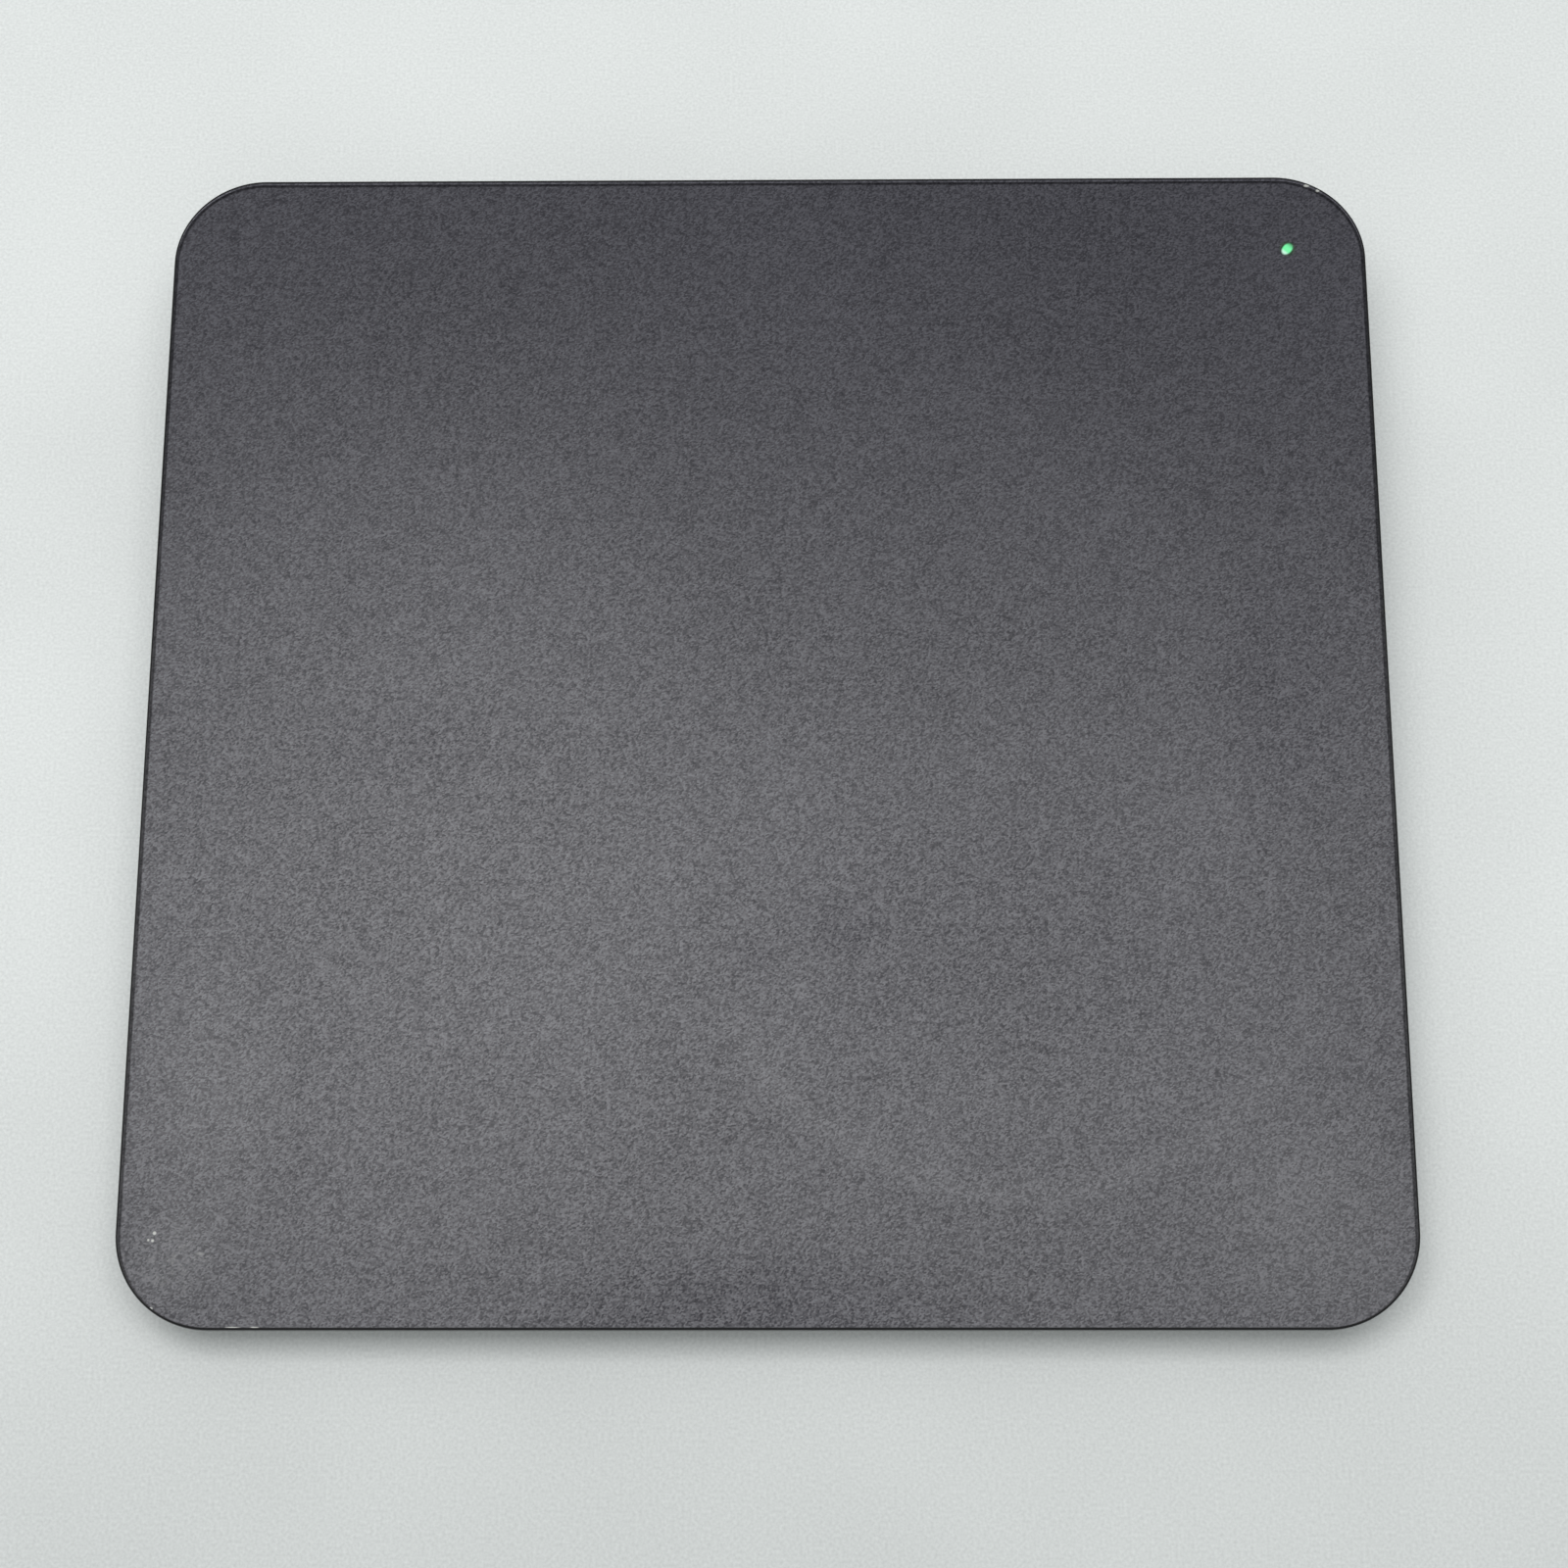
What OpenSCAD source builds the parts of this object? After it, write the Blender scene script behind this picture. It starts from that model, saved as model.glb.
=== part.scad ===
// Wireless trackpad: a glass touch plate on a wedge-shaped base that clicks on four sprung feet.
// Sizes are in millimetres. X runs to the right, Y to the rear and Z up. The feet stand on Z = 0.

/* [Overall] */
// Width of the touch glass
pad_w = 134; // [124:1:150]
// Depth of the touch glass along its slope
pad_d = 129; // [122:1:142]
// Corner radius of the touch glass, seen from above
corner_r = 10; // [9.5:0.5:13]
// Height of the front top edge above the desk
front_h = 6.2; // [6:0.1:7.4]
// Height of the rear top edge above the desk
rear_h = 13.8; // [13.2:0.1:15]
// Gap between the underside and the desk
foot_gap = 1; // [0.9:0.05:1.2]

/* [Glass] */
// Thickness of the touch glass
glass_t = 1.3; // [1.1:0.05:1.45]
// Radius of the polished rim
glass_edge_r = 0.25; // [0.15:0.05:0.6]
// Bevel round the underside of the glass
glass_bevel = 0.15; // [0.1:0.05:0.25]
// Thickness of the bonding film and of the frame tape
bond_t = 0.2; // [0.1:0.05:0.3]

/* [Frame] */
// Step in from the edge of the glass to the frame and the base
rim_inset = 0.5; // [0.3:0.1:0.8]
// Thickness of the flange under the glass
flange_t = 0.8; // [0.7:0.05:1]
// Height of the tongue that drops inside the base
tongue_h = 1; // [0.8:0.1:1.3]
// Thickness of that tongue
tongue_t = 1.2; // [0.9:0.1:1.4]
// Clearance between the tongue and the base wall
tongue_gap = 0.15; // [0.1:0.05:0.3]
// Diameter of the posts that take the case screws
post_d = 4.8; // [4.2:0.1:5.4]
// Distance of the two side posts from the side edges
post_side = 7.5; // [7:0.5:9]
// Distance of the side posts in front of the middle
post_side_y = 2; // [0:0.5:8]
// Distance of the two rear posts from the rear edge
post_rear = 11.5; // [11:0.5:13]
// Distance of the rear posts from the middle
post_rear_x = 40; // [39:0.5:41]
// Width of the three hooks along the front
hook_w = 8; // [5:0.5:12]
// Spacing of the hooks
hook_pitch = 44; // [30:1:48]
// Reach of the hooks into the base wall
hook_reach = 0.5; // [0.3:0.05:0.6]

/* [Base] */
// Thickness of the base wall
wall_t = 1.6; // [1.4:0.1:1.8]
// Thickness of the base floor
floor_t = 1.4; // [1.2:0.05:1.5]
// Lean of the flank at the rim, in degrees from upright
side_draft = 8; // [4:1:14]
// Slope of the flank where it meets the underside at the rear, in degrees from level
side_toe = 28; // [25:1:36]
// Thickness of the stiffening ribs and cell fences
rib_t = 1; // [0.8:0.1:1.4]
// Height of the stiffening ribs
rib_h = 0.8; // [0.5:0.1:1]
// Length of the short stiffening ribs
rib_l = 14; // [8:0.5:16]
// Spacing of the short stiffening ribs
rib_pitch = 14; // [8:0.5:15]

/* [Sensor board] */
// Distance from the glass edge to the sensor board edge
sensor_margin = 5; // [4.6:0.1:6]
// Thickness of the sensor board
sensor_t = 0.8; // [0.6:0.05:0.95]
// Clearance between the sensor board and the frame
sensor_gap = 0.5; // [0.3:0.1:0.8]
// Distance of the status light from the right edge of the glass
light_side = 8.88; // [8.5:0.1:14]
// Distance of the status light from the rear edge of the glass
light_rear = 9.14; // [8.8:0.1:14]
// Diameter of the light guide
light_d = 1.6; // [1:0.1:2]
// Side of the touch chip
touch_chip = 7; // [5:0.5:9]
// Distance of the touch chip to the right of the middle
touch_x = 30; // [24:1:36]
// Distance of the touch chip from the rear edge of the glass
touch_rear = 58; // [57:1:72]
// Height of a chip
chip_h = 0.9; // [0.6:0.1:1]
// Length of the light chip under the light guide
led_l = 3.2; // [2:0.1:3.6]

/* [Click feet] */
// Travel of a foot when its corner clicks
click_travel = 0.4; // [0.2:0.05:0.45]
// Distance of the feet from the side edges
foot_side = 19; // [18:0.5:24]
// Distance of the front feet from the front edge
foot_front = 16.5; // [16:0.5:20]
// Distance of the rear feet from the rear edge
foot_rear = 20.5; // [20:0.5:22]
// Diameter of the plunger barrel
barrel_d = 10; // [8.8:0.1:10.4]
// Radial clearance between the barrel and its bore
barrel_gap = 0.1; // [0.05:0.05:0.2]
// Width of the flange that keeps the plunger in
foot_lip = 1.2; // [0.8:0.1:1.4]
// Thickness of that flange
foot_flange_t = 0.6; // [0.5:0.05:0.7]
// Diameter of the plunger post
foot_post_d = 5.2; // [4:0.1:6]
// Rim of the barrel round the rubber pad
pad_rim = 0.6; // [0.5:0.05:0.9]
// Depth to which the rubber pad is let in
pad_seat = 0.5; // [0.3:0.05:0.6]
// Rounding of the rubber pad
pad_edge_r = 0.3; // [0.1:0.05:0.5]
// Side of a click switch case
switch_w = 4.6; // [4:0.1:5.4]
// Height of a click switch case
switch_h = 0.9; // [0.8:0.05:1]
// Diameter of a switch stem
stem_d = 2; // [1.4:0.1:2.4]
// Length of the stem outside its case
stem_out = 0.5; // [0.5:0.05:0.55]

/* [Main board] */
// Width of the main board
board_w = 66; // [62:1:70]
// Depth of the main board
board_d = 26; // [24:0.5:27]
// Thickness of the main board
board_t = 1; // [0.8:0.1:1.2]
// Height of the standoffs under the main board
standoff_h = 2.6; // [2.4:0.1:2.8]
// Diameter of the standoffs
standoff_d = 4.5; // [3.6:0.1:5]
// Distance of the board screws from the board edges
screw_edge = 4; // [3.6:0.1:4.2]
// Side of the radio chip
radio_chip = 6; // [4:0.5:8]
// Side of the charging chip
charge_chip = 4; // [3:0.5:5]
// Length of the crystal can
crystal_l = 3.2; // [2.5:0.1:4]
// Length of a chip capacitor
cap_l = 1.6; // [1:0.1:2]
// Spacing of the chip capacitors
cap_pitch = 2; // [1.6:0.1:2.4]
// Depth of the arm that carries the power switch
arm_d = 16; // [14:0.5:17]
// Distance of the left edge of that arm from the middle
arm_x = 20; // [18:0.5:22]

/* [Charging socket] */
// Width of the socket shell
usb_w = 7.5; // [7:0.1:8]
// Height of the socket shell
usb_h = 2.45; // [2.2:0.05:2.6]
// Length of the socket shell
usb_len = 5.2; // [4.8:0.1:5.6]
// Thickness of the socket shell
usb_t = 0.25; // [0.2:0.05:0.35]
// Overhang of the socket past the board edge
usb_overhang = 2; // [1.6:0.1:2.4]
// Width of the pocket for the plug in the rear wall
port_w = 11.5; // [10:0.1:13]
// Height of that pocket
port_h = 5; // [4:0.1:5.4]
// Depth of that pocket at the socket
port_recess = 1.2; // [0.9:0.05:1.3]

/* [Power switch] */
// Distance of the power switch from the rear edge
slider_rear = 37.5; // [36:0.5:40]
// Travel of the power knob
slider_travel = 2.5; // [1.5:0.1:3]
// Length of the power knob
knob_l = 6; // [4:0.5:7]
// Height of the power knob
knob_h = 2.2; // [1.6:0.1:2.4]
// Height of the knob above the wall
knob_proud = 0.4; // [0.1:0.1:0.8]
// Clearance round the knob
knob_gap = 0.2; // [0.1:0.05:0.3]
// Thickness of the plate behind the wall
plate_t = 1; // [0.8:0.1:1.1]
// Side of the switch actuator
actuator_w = 1.5; // [1:0.1:1.7]

/* [Cell] */
// Width of the cell
cell_w = 60; // [50:1:61]
// Depth of the cell
cell_d = 48; // [36:1:49]
// Thickness of the cell
cell_t = 3.2; // [2.4:0.1:3.4]
// Width of the sealed edge that the leads come out of
cell_seal = 4; // [3:0.5:5]
// Distance of the middle of the cell to the left of the middle
cell_left = 16; // [14:0.5:17]
// Clearance between the cell and its fences
cell_gap = 0.4; // [0.2:0.1:0.6]
// Thickness of the tape under the cell
cell_tape_t = 0.2; // [0.1:0.05:0.3]
// Diameter of the leads
lead_d = 1.1; // [0.8:0.1:1.3]
// Spacing of the leads
lead_pitch = 2; // [1.7:0.1:2.6]
// Width of the plug on the leads
plug_w = 5.2; // [4.8:0.1:5.8]
// Height of that plug
plug_h = 1.8; // [1.7:0.05:2]
// Length of the corner fences round the cell
fence_l = 8; // [4:0.5:12]
// Height of those fences
fence_h = 1.8; // [1:0.1:2.4]

/* [Screws] */
// Thread diameter of the case screws
case_screw_d = 2; // [1.6:0.1:2.2]
// Length of the case screws under the head
case_screw_len = 4; // [3:0.1:4.4]
// Head diameter of the case screws
case_head_d = 3.8; // [3.2:0.1:4.2]
// Head height of the case screws
case_head_h = 1.2; // [0.9:0.05:1.3]
// Thread diameter of the board screws
board_screw_d = 1.6; // [1.2:0.1:1.8]
// Length of the board screws under the head
board_screw_len = 3; // [2.5:0.1:3.4]
// Head diameter of the board screws
board_head_d = 3; // [2.6:0.1:3.4]
// Head height of the board screws
board_head_h = 0.8; // [0.6:0.05:1]
// Radial clearance of a screw in its hole
screw_gap = 0.05; // [0.03:0.01:0.15]

/* [Hidden] */
$fn = 64;

// Slope of the deck and the place of the middle of the glass top
tilt = asin((rear_h - front_h) / pad_d);
deck_z = (front_h + rear_h) / 2;
deck_y = -glass_t * sin(tilt) / 2;

// Depths below the glass top, square to the deck
seat_depth = glass_t + bond_t;
sensor_under = seat_depth + sensor_t;
rim_depth = seat_depth + flange_t;
shelf_depth = sensor_under + 0.25;
shelf_t = 1;
tip_depth = sensor_under + switch_h + stem_out;

// Levels above the desk
floor_top = foot_gap + floor_t;
board_under = floor_top + standoff_h;
board_top = board_under + board_t;

// Height above the desk of a point at a depth below the glass top
function deck_height(y, depth) = deck_z + (y - deck_y) * tan(tilt) - depth / cos(tilt);

// Deck coordinate of a point at world y and a depth below the glass top
function deck_along(y, depth) = (y - deck_y - depth * sin(tilt)) / cos(tilt);

// Flank of the base: an arc that leans in from the rim
rim_r = corner_r - rim_inset;
rear_rim_z = deck_z + (pad_d / 2 - rim_inset) * sin(tilt) - rim_depth * cos(tilt);
rear_wall_h = rear_rim_z - foot_gap;
side_r = rear_wall_h / (cos(side_toe) - sin(side_draft));
function arc_inset(radius, drop) =
    side_r * cos(side_draft) - sqrt(pow(radius, 2) - pow(side_r * sin(side_draft) + drop, 2));

// Tongue of the frame
tongue_inset = rim_inset + arc_inset(side_r - wall_t, tongue_h) + tongue_gap;

// Place of the touch chip along the deck
touch_along = pad_d / 2 - touch_rear;

// Feet
foot_x = pad_w / 2 - foot_side;
foot_front_y = -pad_d / 2 + foot_front;
foot_rear_y = pad_d / 2 - foot_rear;
barrel_low = foot_gap - click_travel;
flange_d = barrel_d + 2 * foot_lip;
collar_in = flange_d / 2 + 0.25;
collar_out = collar_in + rib_t;
pad_r = barrel_d / 2 - pad_rim;
stem_inside = 0.15;

// Case screws and their posts
side_post_x = pad_w / 2 - post_side;
rear_post_y = pad_d / 2 - post_rear;
head_seat = foot_gap + case_head_h + 0.3;
boss_top = head_seat + 1.2;
post_hole = case_screw_len - (boss_top - head_seat) + 0.3;

// Charging socket and the rear wall behind it
port_z = board_top + usb_h / 2;
port_drop = rear_rim_z - port_z;
port_wall_y = deck_y + (pad_d / 2 - rim_inset - arc_inset(side_r, port_drop)) * cos(tilt)
    + (rim_depth + port_drop) * sin(tilt);
mouth_y = port_wall_y - port_recess;
port_block_t = 1.6;
port_gap = 0.2;

// Main board
tab_rear = mouth_y - usb_overhang;
board_rear = tab_rear - 3.4;
board_front = board_rear - board_d;
board_mid = (board_front + board_rear) / 2;
chip_y = board_mid + 4;
radio_x = -board_w / 4;
charge_x = board_w / 4;

// Power switch on the right-hand wall
slider_y = pad_d / 2 - slider_rear;
arm_front = slider_y - arm_d / 2;
slider_z = board_top + 1.1;
slider_wall_x = pad_w / 2 - rim_inset - arc_inset(side_r, deck_height(slider_y, rim_depth) - slider_z);
slot_x = slider_wall_x - 1.9;
plate_x = slot_x - knob_gap - plate_t;
plate_l = knob_l + 2 * slider_travel + 1.5;
plate_up = knob_h / 2 + 0.5;
plate_down = knob_h / 2 + 1;
case_right = plate_x - 0.5;
case_l = 4.8;
knob_y = slider_y + slider_travel / 2;

// Cell
cell_rear = board_front - 4;
cell_y = cell_rear - cell_d / 2;
cell_low = floor_top + cell_tape_t;
cell_right = cell_w / 2 - cell_left;

// Cell plug, in front of its socket on the arm
plug_x = arm_x + plug_w;
plug_l = 0.8 * plug_w;
plug_front = arm_front - 0.6 * plug_w;
plug_z = board_top + plug_h / 2 + 0.2;

// Ribbon between the two boards
ribbon_x = -4;
ribbon_w = 14;
ribbon_t = 0.2;
socket_h = 1.2;
socket_w = ribbon_w + 3;
socket_d = 3.6;
ribbon_in = 1.6;
socket_front = board_front + 4;
bend_y = socket_front - 1.5;
ribbon_low = board_top + socket_h / 2;
bend_r = ((deck_z - ribbon_low) * cos(tilt) + (bend_y - deck_y) * sin(tilt)
    - sensor_under - socket_h / 2) / (1 + cos(tilt));

// Shared shapes

// Puts its children on the sloping deck, at a depth below the glass top
module deck(depth) {
    translate([0, deck_y, deck_z])
        rotate([tilt, 0, 0])
            translate([0, 0, -depth])
                children();
}

// Everything below a depth under the glass top
module under_deck(depth) {
    deck(depth)
        translate([-pad_w, -pad_d, -3 * rear_h])
            cube([2 * pad_w, 2 * pad_d, 3 * rear_h]);
}

// Everything above a level
module above(level) {
    translate([-pad_w, -pad_d, level])
        cube([2 * pad_w, 2 * pad_d, 3 * rear_h]);
}

// Rectangle with rounded corners, about the middle
module rounded_rect(w, d, r) {
    square([w - 2 * r, d], center = true);
    square([w, d - 2 * r], center = true);
    for (x = [-1, 1], y = [-1, 1])
        translate([x * (w / 2 - r), y * (d / 2 - r)])
            circle(r);
}

// Solid slab with an edge profile, given from the centre of a corner outwards, run round its outline
module rim_sweep(w, d, r, low, high) {
    core_w = w - 2 * r;
    core_d = d - 2 * r;
    translate([-core_w / 2, -core_d / 2, low])
        cube([core_w, core_d, high - low]);
    for (i = [0:3])
        rotate(90 * i) {
            run = i % 2 == 0 ? core_d : core_w;
            reach = i % 2 == 0 ? core_w / 2 : core_d / 2;
            translate([reach, 0, 0])
                rotate([90, 0, 0])
                    linear_extrude(run, center = true)
                        children();
            translate([reach, run / 2, 0])
                rotate_extrude(angle = 90)
                    children();
        }
}

// Slab of the base: its flank is an arc about a centre inside and above the rim
module dish(radius, low, high) {
    rim_sweep(pad_w - 2 * rim_inset, pad_d - 2 * rim_inset, rim_r, low, high)
        intersection() {
            translate([rim_r - side_r * cos(side_draft), side_r * sin(side_draft)])
                circle(radius);
            translate([0, low])
                square([corner_r, high - low]);
        }
}

module base_outside() {
    deck(rim_depth)
        dish(side_r, -rear_wall_h - 0.3, 0);
}

// Ring in plan, from an outer outline inwards
module outline_ring(inset, thickness, height) {
    linear_extrude(height)
        difference() {
            rounded_rect(pad_w - 2 * inset, pad_d - 2 * inset, corner_r - inset);
            rounded_rect(
                pad_w - 2 * (inset + thickness),
                pad_d - 2 * (inset + thickness),
                max(corner_r - inset - thickness, 1)
            );
        }
}

module at_post_places() {
    for (side = [-1, 1]) {
        translate([side * side_post_x, -post_side_y, 0])
            children();
        translate([side * post_rear_x, rear_post_y, 0])
            children();
    }
}

module at_feet() {
    for (x = [-foot_x, foot_x], y = [foot_front_y, foot_rear_y])
        translate([x, y, 0])
            children();
}

module at_board_screws() {
    for (place = [
        [-board_w / 2 + screw_edge, board_front + screw_edge],
        [-board_w / 2 + screw_edge, board_rear - 1.5 * screw_edge],
        [board_w / 2 - screw_edge, board_rear - 1.5 * screw_edge],
        [plate_x - 2 * screw_edge, arm_front + 0.75 * screw_edge]
    ])
        translate(place)
            children();
}

// Puts its children on the underside of the sensor board, facing down
module on_sensor(x, along) {
    deck(sensor_under)
        translate([x, along, 0])
            rotate([180, 0, 0])
                children();
}

// Pan head screw that points up, with its seat at Z = 0
module pan_screw(thread, length, head, head_h) {
    cylinder(d = thread, h = length);
    difference() {
        translate([0, 0, -head_h])
            cylinder(d = head, h = head_h);
        for (turn = [0, 90])
            rotate(turn)
                translate([-head * 0.3, -head * 0.07, -head_h - 0.1])
                    cube([head * 0.6, head * 0.14, head_h * 0.5 + 0.1]);
    }
}

module box_at(x, y, z, size) {
    translate([x - size.x / 2, y - size.y / 2, z])
        cube(size);
}

module chip_capacitor(x, y, z) {
    box_at(x, y, z, [cap_l / 2, cap_l, 0.4 * cap_l]);
}

// Straight length of wire with a round end
module wire_run(start, end, d) {
    reach = end - start;
    translate(start)
        rotate([0, acos(reach.z / norm(reach)), atan2(reach.y, reach.x)])
            cylinder(d = d, h = norm(reach));
    translate(end)
        sphere(d = 1.04 * d);
}

// Deck pieces

module touch_glass() {
    color([0.24, 0.24, 0.26])
        deck(0)
            rim_sweep(pad_w, pad_d, corner_r, -glass_t, 0)
                difference() {
                    translate([0, -glass_t])
                        square([corner_r, glass_t]);
                    translate([corner_r - glass_edge_r, -glass_edge_r])
                        difference() {
                            square([1, 1]);
                            circle(glass_edge_r);
                        }
                    translate([corner_r, -glass_t])
                        rotate(45)
                            square(sqrt(2) * glass_bevel, center = true);
                }
}

module bond_film() {
    color([0.85, 0.87, 0.9, 0.6])
        deck(seat_depth)
            linear_extrude(bond_t)
                difference() {
                    rounded_rect(
                        pad_w - 2 * sensor_margin,
                        pad_d - 2 * sensor_margin,
                        max(corner_r - sensor_margin, 3)
                    );
                    translate([pad_w / 2 - light_side, pad_d / 2 - light_rear])
                        circle(d = light_d + 0.4);
                }
}

module frame_tape() {
    color([0.12, 0.12, 0.12])
        deck(seat_depth)
            outline_ring(rim_inset + 0.3, sensor_margin - rim_inset - 0.8, bond_t);
}

module sensor_board() {
    color([0.05, 0.25, 0.16])
        deck(sensor_under)
            linear_extrude(sensor_t)
                difference() {
                    rounded_rect(
                        pad_w - 2 * sensor_margin,
                        pad_d - 2 * sensor_margin,
                        max(corner_r - sensor_margin, 3)
                    );
                    translate([pad_w / 2 - light_side, pad_d / 2 - light_rear])
                        circle(d = light_d + 0.4);
                }
}

module touch_controller() {
    color([0.1, 0.1, 0.11])
        on_sensor(touch_x, touch_along)
            box_at(0, 0, 0, [touch_chip, touch_chip, chip_h]);
}

module sensor_passives() {
    color([0.62, 0.5, 0.36])
        for (i = [-2:2], side = [-1, 1])
            on_sensor(touch_x + i * cap_pitch, touch_along + side * (touch_chip / 2 + cap_l))
                chip_capacitor(0, 0, 0);
}

module sensor_socket() {
    color([0.9, 0.88, 0.8])
        on_sensor(ribbon_x, deck_along(socket_front, sensor_under) + socket_d / 2)
            difference() {
                box_at(0, 0, 0, [socket_w, socket_d, socket_h]);
                translate([0, socket_d / 2 - ribbon_in / 2, socket_h / 2])
                    cube([ribbon_w + 0.2, ribbon_in + 0.4, ribbon_t + 0.1], center = true);
            }
}

module click_switches() {
    color([0.2, 0.2, 0.2])
        for (x = [-foot_x, foot_x], y = [foot_front_y, foot_rear_y])
            on_sensor(x, deck_along(y, tip_depth))
                difference() {
                    linear_extrude(switch_h)
                        rounded_rect(switch_w, switch_w, 0.5);
                    translate([0, 0, 0.2])
                        cylinder(d = stem_d + 0.3, h = switch_h);
                }
}

module status_led() {
    color([0.95, 0.95, 0.85])
        on_sensor(pad_w / 2 - light_side, pad_d / 2 - light_rear)
            box_at(0, 0, 0, [led_l, led_l / 2, 0.22 * led_l]);
}

module light_guide() {
    color([0.75, 0.95, 0.8, 0.7])
        deck(sensor_under)
            translate([pad_w / 2 - light_side, pad_d / 2 - light_rear, 0])
                cylinder(d = light_d, h = sensor_t + bond_t);
}

// Case

module top_frame() {
    color([0.08, 0.08, 0.085])
        difference() {
            union() {
                deck(rim_depth)
                    outline_ring(rim_inset, sensor_margin - sensor_gap - rim_inset, flange_t);
                difference() {
                    deck(rim_depth + tongue_h)
                        outline_ring(tongue_inset, tongue_t, tongue_h);
                    box_at(plate_x, slider_y, 0, [4 * wall_t + 4, plate_l + slider_travel + 2, rear_h]);
                }
                for (i = [-1:1])
                    deck(rim_depth + tongue_h - 0.05)
                        box_at(
                            i * hook_pitch,
                            -pad_d / 2 + tongue_inset + tongue_t / 2 - hook_reach / 2,
                            0,
                            [hook_w, tongue_t + hook_reach, 0.5]
                        );
                for (side = [-1, 1])
                    deck(shelf_depth + shelf_t) {
                        side_reach = pad_w / 2 - tongue_inset - 0.1;
                        rear_reach = pad_d / 2 - tongue_inset - 0.1;
                        box_at(
                            side * (side_post_x + side_reach) / 2,
                            -post_side_y,
                            0,
                            [side_reach - side_post_x, post_d, shelf_t]
                        );
                        box_at(
                            side * post_rear_x,
                            (rear_post_y + rear_reach) / 2,
                            0,
                            [post_d, rear_reach - rear_post_y, shelf_t]
                        );
                    }
                intersection() {
                    at_post_places()
                        translate([0, 0, boss_top])
                            cylinder(d = post_d, h = 2 * rear_h);
                    under_deck(shelf_depth);
                }
            }
            at_post_places()
                translate([0, 0, boss_top - 0.1])
                    cylinder(d = case_screw_d + 2 * screw_gap, h = post_hole + 0.1);
        }
}

// Floor features inside the base: foot collars, bosses, standoffs, cell fences and ribs
module base_features() {
    at_feet()
        translate([0, 0, floor_top - 0.2])
            difference() {
                cylinder(r = collar_out, h = 1.2);
                translate([0, 0, -1])
                    cylinder(r = collar_in, h = 3);
            }
    at_post_places()
        translate([0, 0, floor_top - 0.2])
            cylinder(d = post_d + 1.2, h = boss_top - floor_top + 0.2);
    at_board_screws()
        translate([0, 0, floor_top - 0.2])
            cylinder(d = standoff_d, h = standoff_h + 0.2);
    for (x = [-1, 1], y = [-1, 1])
        translate([
            -cell_left + x * (cell_w / 2 + cell_gap + rib_t / 2),
            cell_y + y * (cell_d / 2 + cell_gap + rib_t / 2),
            floor_top - 0.2
        ]) {
            box_at(-x * fence_l / 2, 0, 0, [fence_l + rib_t, rib_t, fence_h + 0.2]);
            box_at(0, -y * fence_l / 2, 0, [rib_t, fence_l + rib_t, fence_h + 0.2]);
        }
    for (i = [-2:2])
        box_at(i * rib_pitch, foot_front_y + 1, floor_top - 0.2, [rib_t, rib_l, rib_h + 0.2]);
    box_at(0, foot_front_y + 1, floor_top - 0.2, [2 * foot_x - 2 * collar_out - 2, rib_t, rib_h + 0.2]);
    intersection() {
        base_outside();
        translate([-port_w / 2 - 1.5, mouth_y - port_block_t, board_top - 0.3])
            cube([port_w + 3, 10, port_h / 2 + usb_h / 2 + 0.4]);
    }
}

module base_shell() {
    color([0.66, 0.67, 0.68])
        difference() {
            union() {
                difference() {
                    intersection() {
                        base_outside();
                        above(foot_gap);
                    }
                    intersection() {
                        deck(rim_depth)
                            dish(side_r - wall_t, -rear_wall_h + floor_t, 1);
                        above(floor_top);
                    }
                }
                base_features();
            }
            // Bores for the feet
            at_feet() {
                cylinder(r = barrel_d / 2 + barrel_gap, h = floor_top + 1);
                translate([0, 0, foot_gap - 0.1])
                    cylinder(r1 = barrel_d / 2 + barrel_gap + 0.5, r2 = barrel_d / 2 + barrel_gap, h = 0.5);
            }
            // Case screws
            at_post_places() {
                cylinder(d = case_head_d + 0.5, h = head_seat);
                cylinder(d = case_screw_d + 0.3, h = boss_top + 1);
            }
            // Board screws
            at_board_screws()
                translate([0, 0, board_under - board_screw_len + board_t - 0.3])
                    cylinder(d = board_screw_d + 2 * screw_gap, h = board_screw_len + 1);
            // Charging socket
            translate([-port_w / 2, mouth_y, port_z - port_h / 2])
                cube([port_w, 10, port_h]);
            box_at(
                0,
                mouth_y,
                port_z - usb_h / 2 - port_gap,
                [usb_w + 2 * port_gap, 12, usb_h + 2 * port_gap]
            );
            // Power switch: finger dip, slot and room for the plate
            box_at(
                slider_wall_x - 0.6 + 5,
                slider_y,
                slider_z - knob_h / 2 - 0.5,
                [10, knob_l + slider_travel + 5, knob_h + 1]
            );
            box_at(
                slider_wall_x,
                slider_y,
                slider_z - knob_h / 2 - knob_gap,
                [10, knob_l + slider_travel + 2 * knob_gap, knob_h + 2 * knob_gap]
            );
            box_at(
                slot_x - 2.5,
                slider_y,
                slider_z - plate_down - knob_gap,
                [5, plate_l + slider_travel + 2 * knob_gap, rear_h]
            );
            // Front hooks
            for (i = [-1:1])
                deck(rim_depth + tongue_h - 0.05 + 0.1)
                    box_at(
                        i * hook_pitch,
                        -pad_d / 2 + tongue_inset - hook_reach / 2 + 0.5,
                        0,
                        [hook_w + 0.6, hook_reach + 1.3, 0.7]
                    );
        }
}

module case_screws() {
    color([0.3, 0.3, 0.31])
        at_post_places()
            translate([0, 0, head_seat])
                pan_screw(case_screw_d, case_screw_len, case_head_d, case_head_h);
}

// Main board and what stands on it

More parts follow.
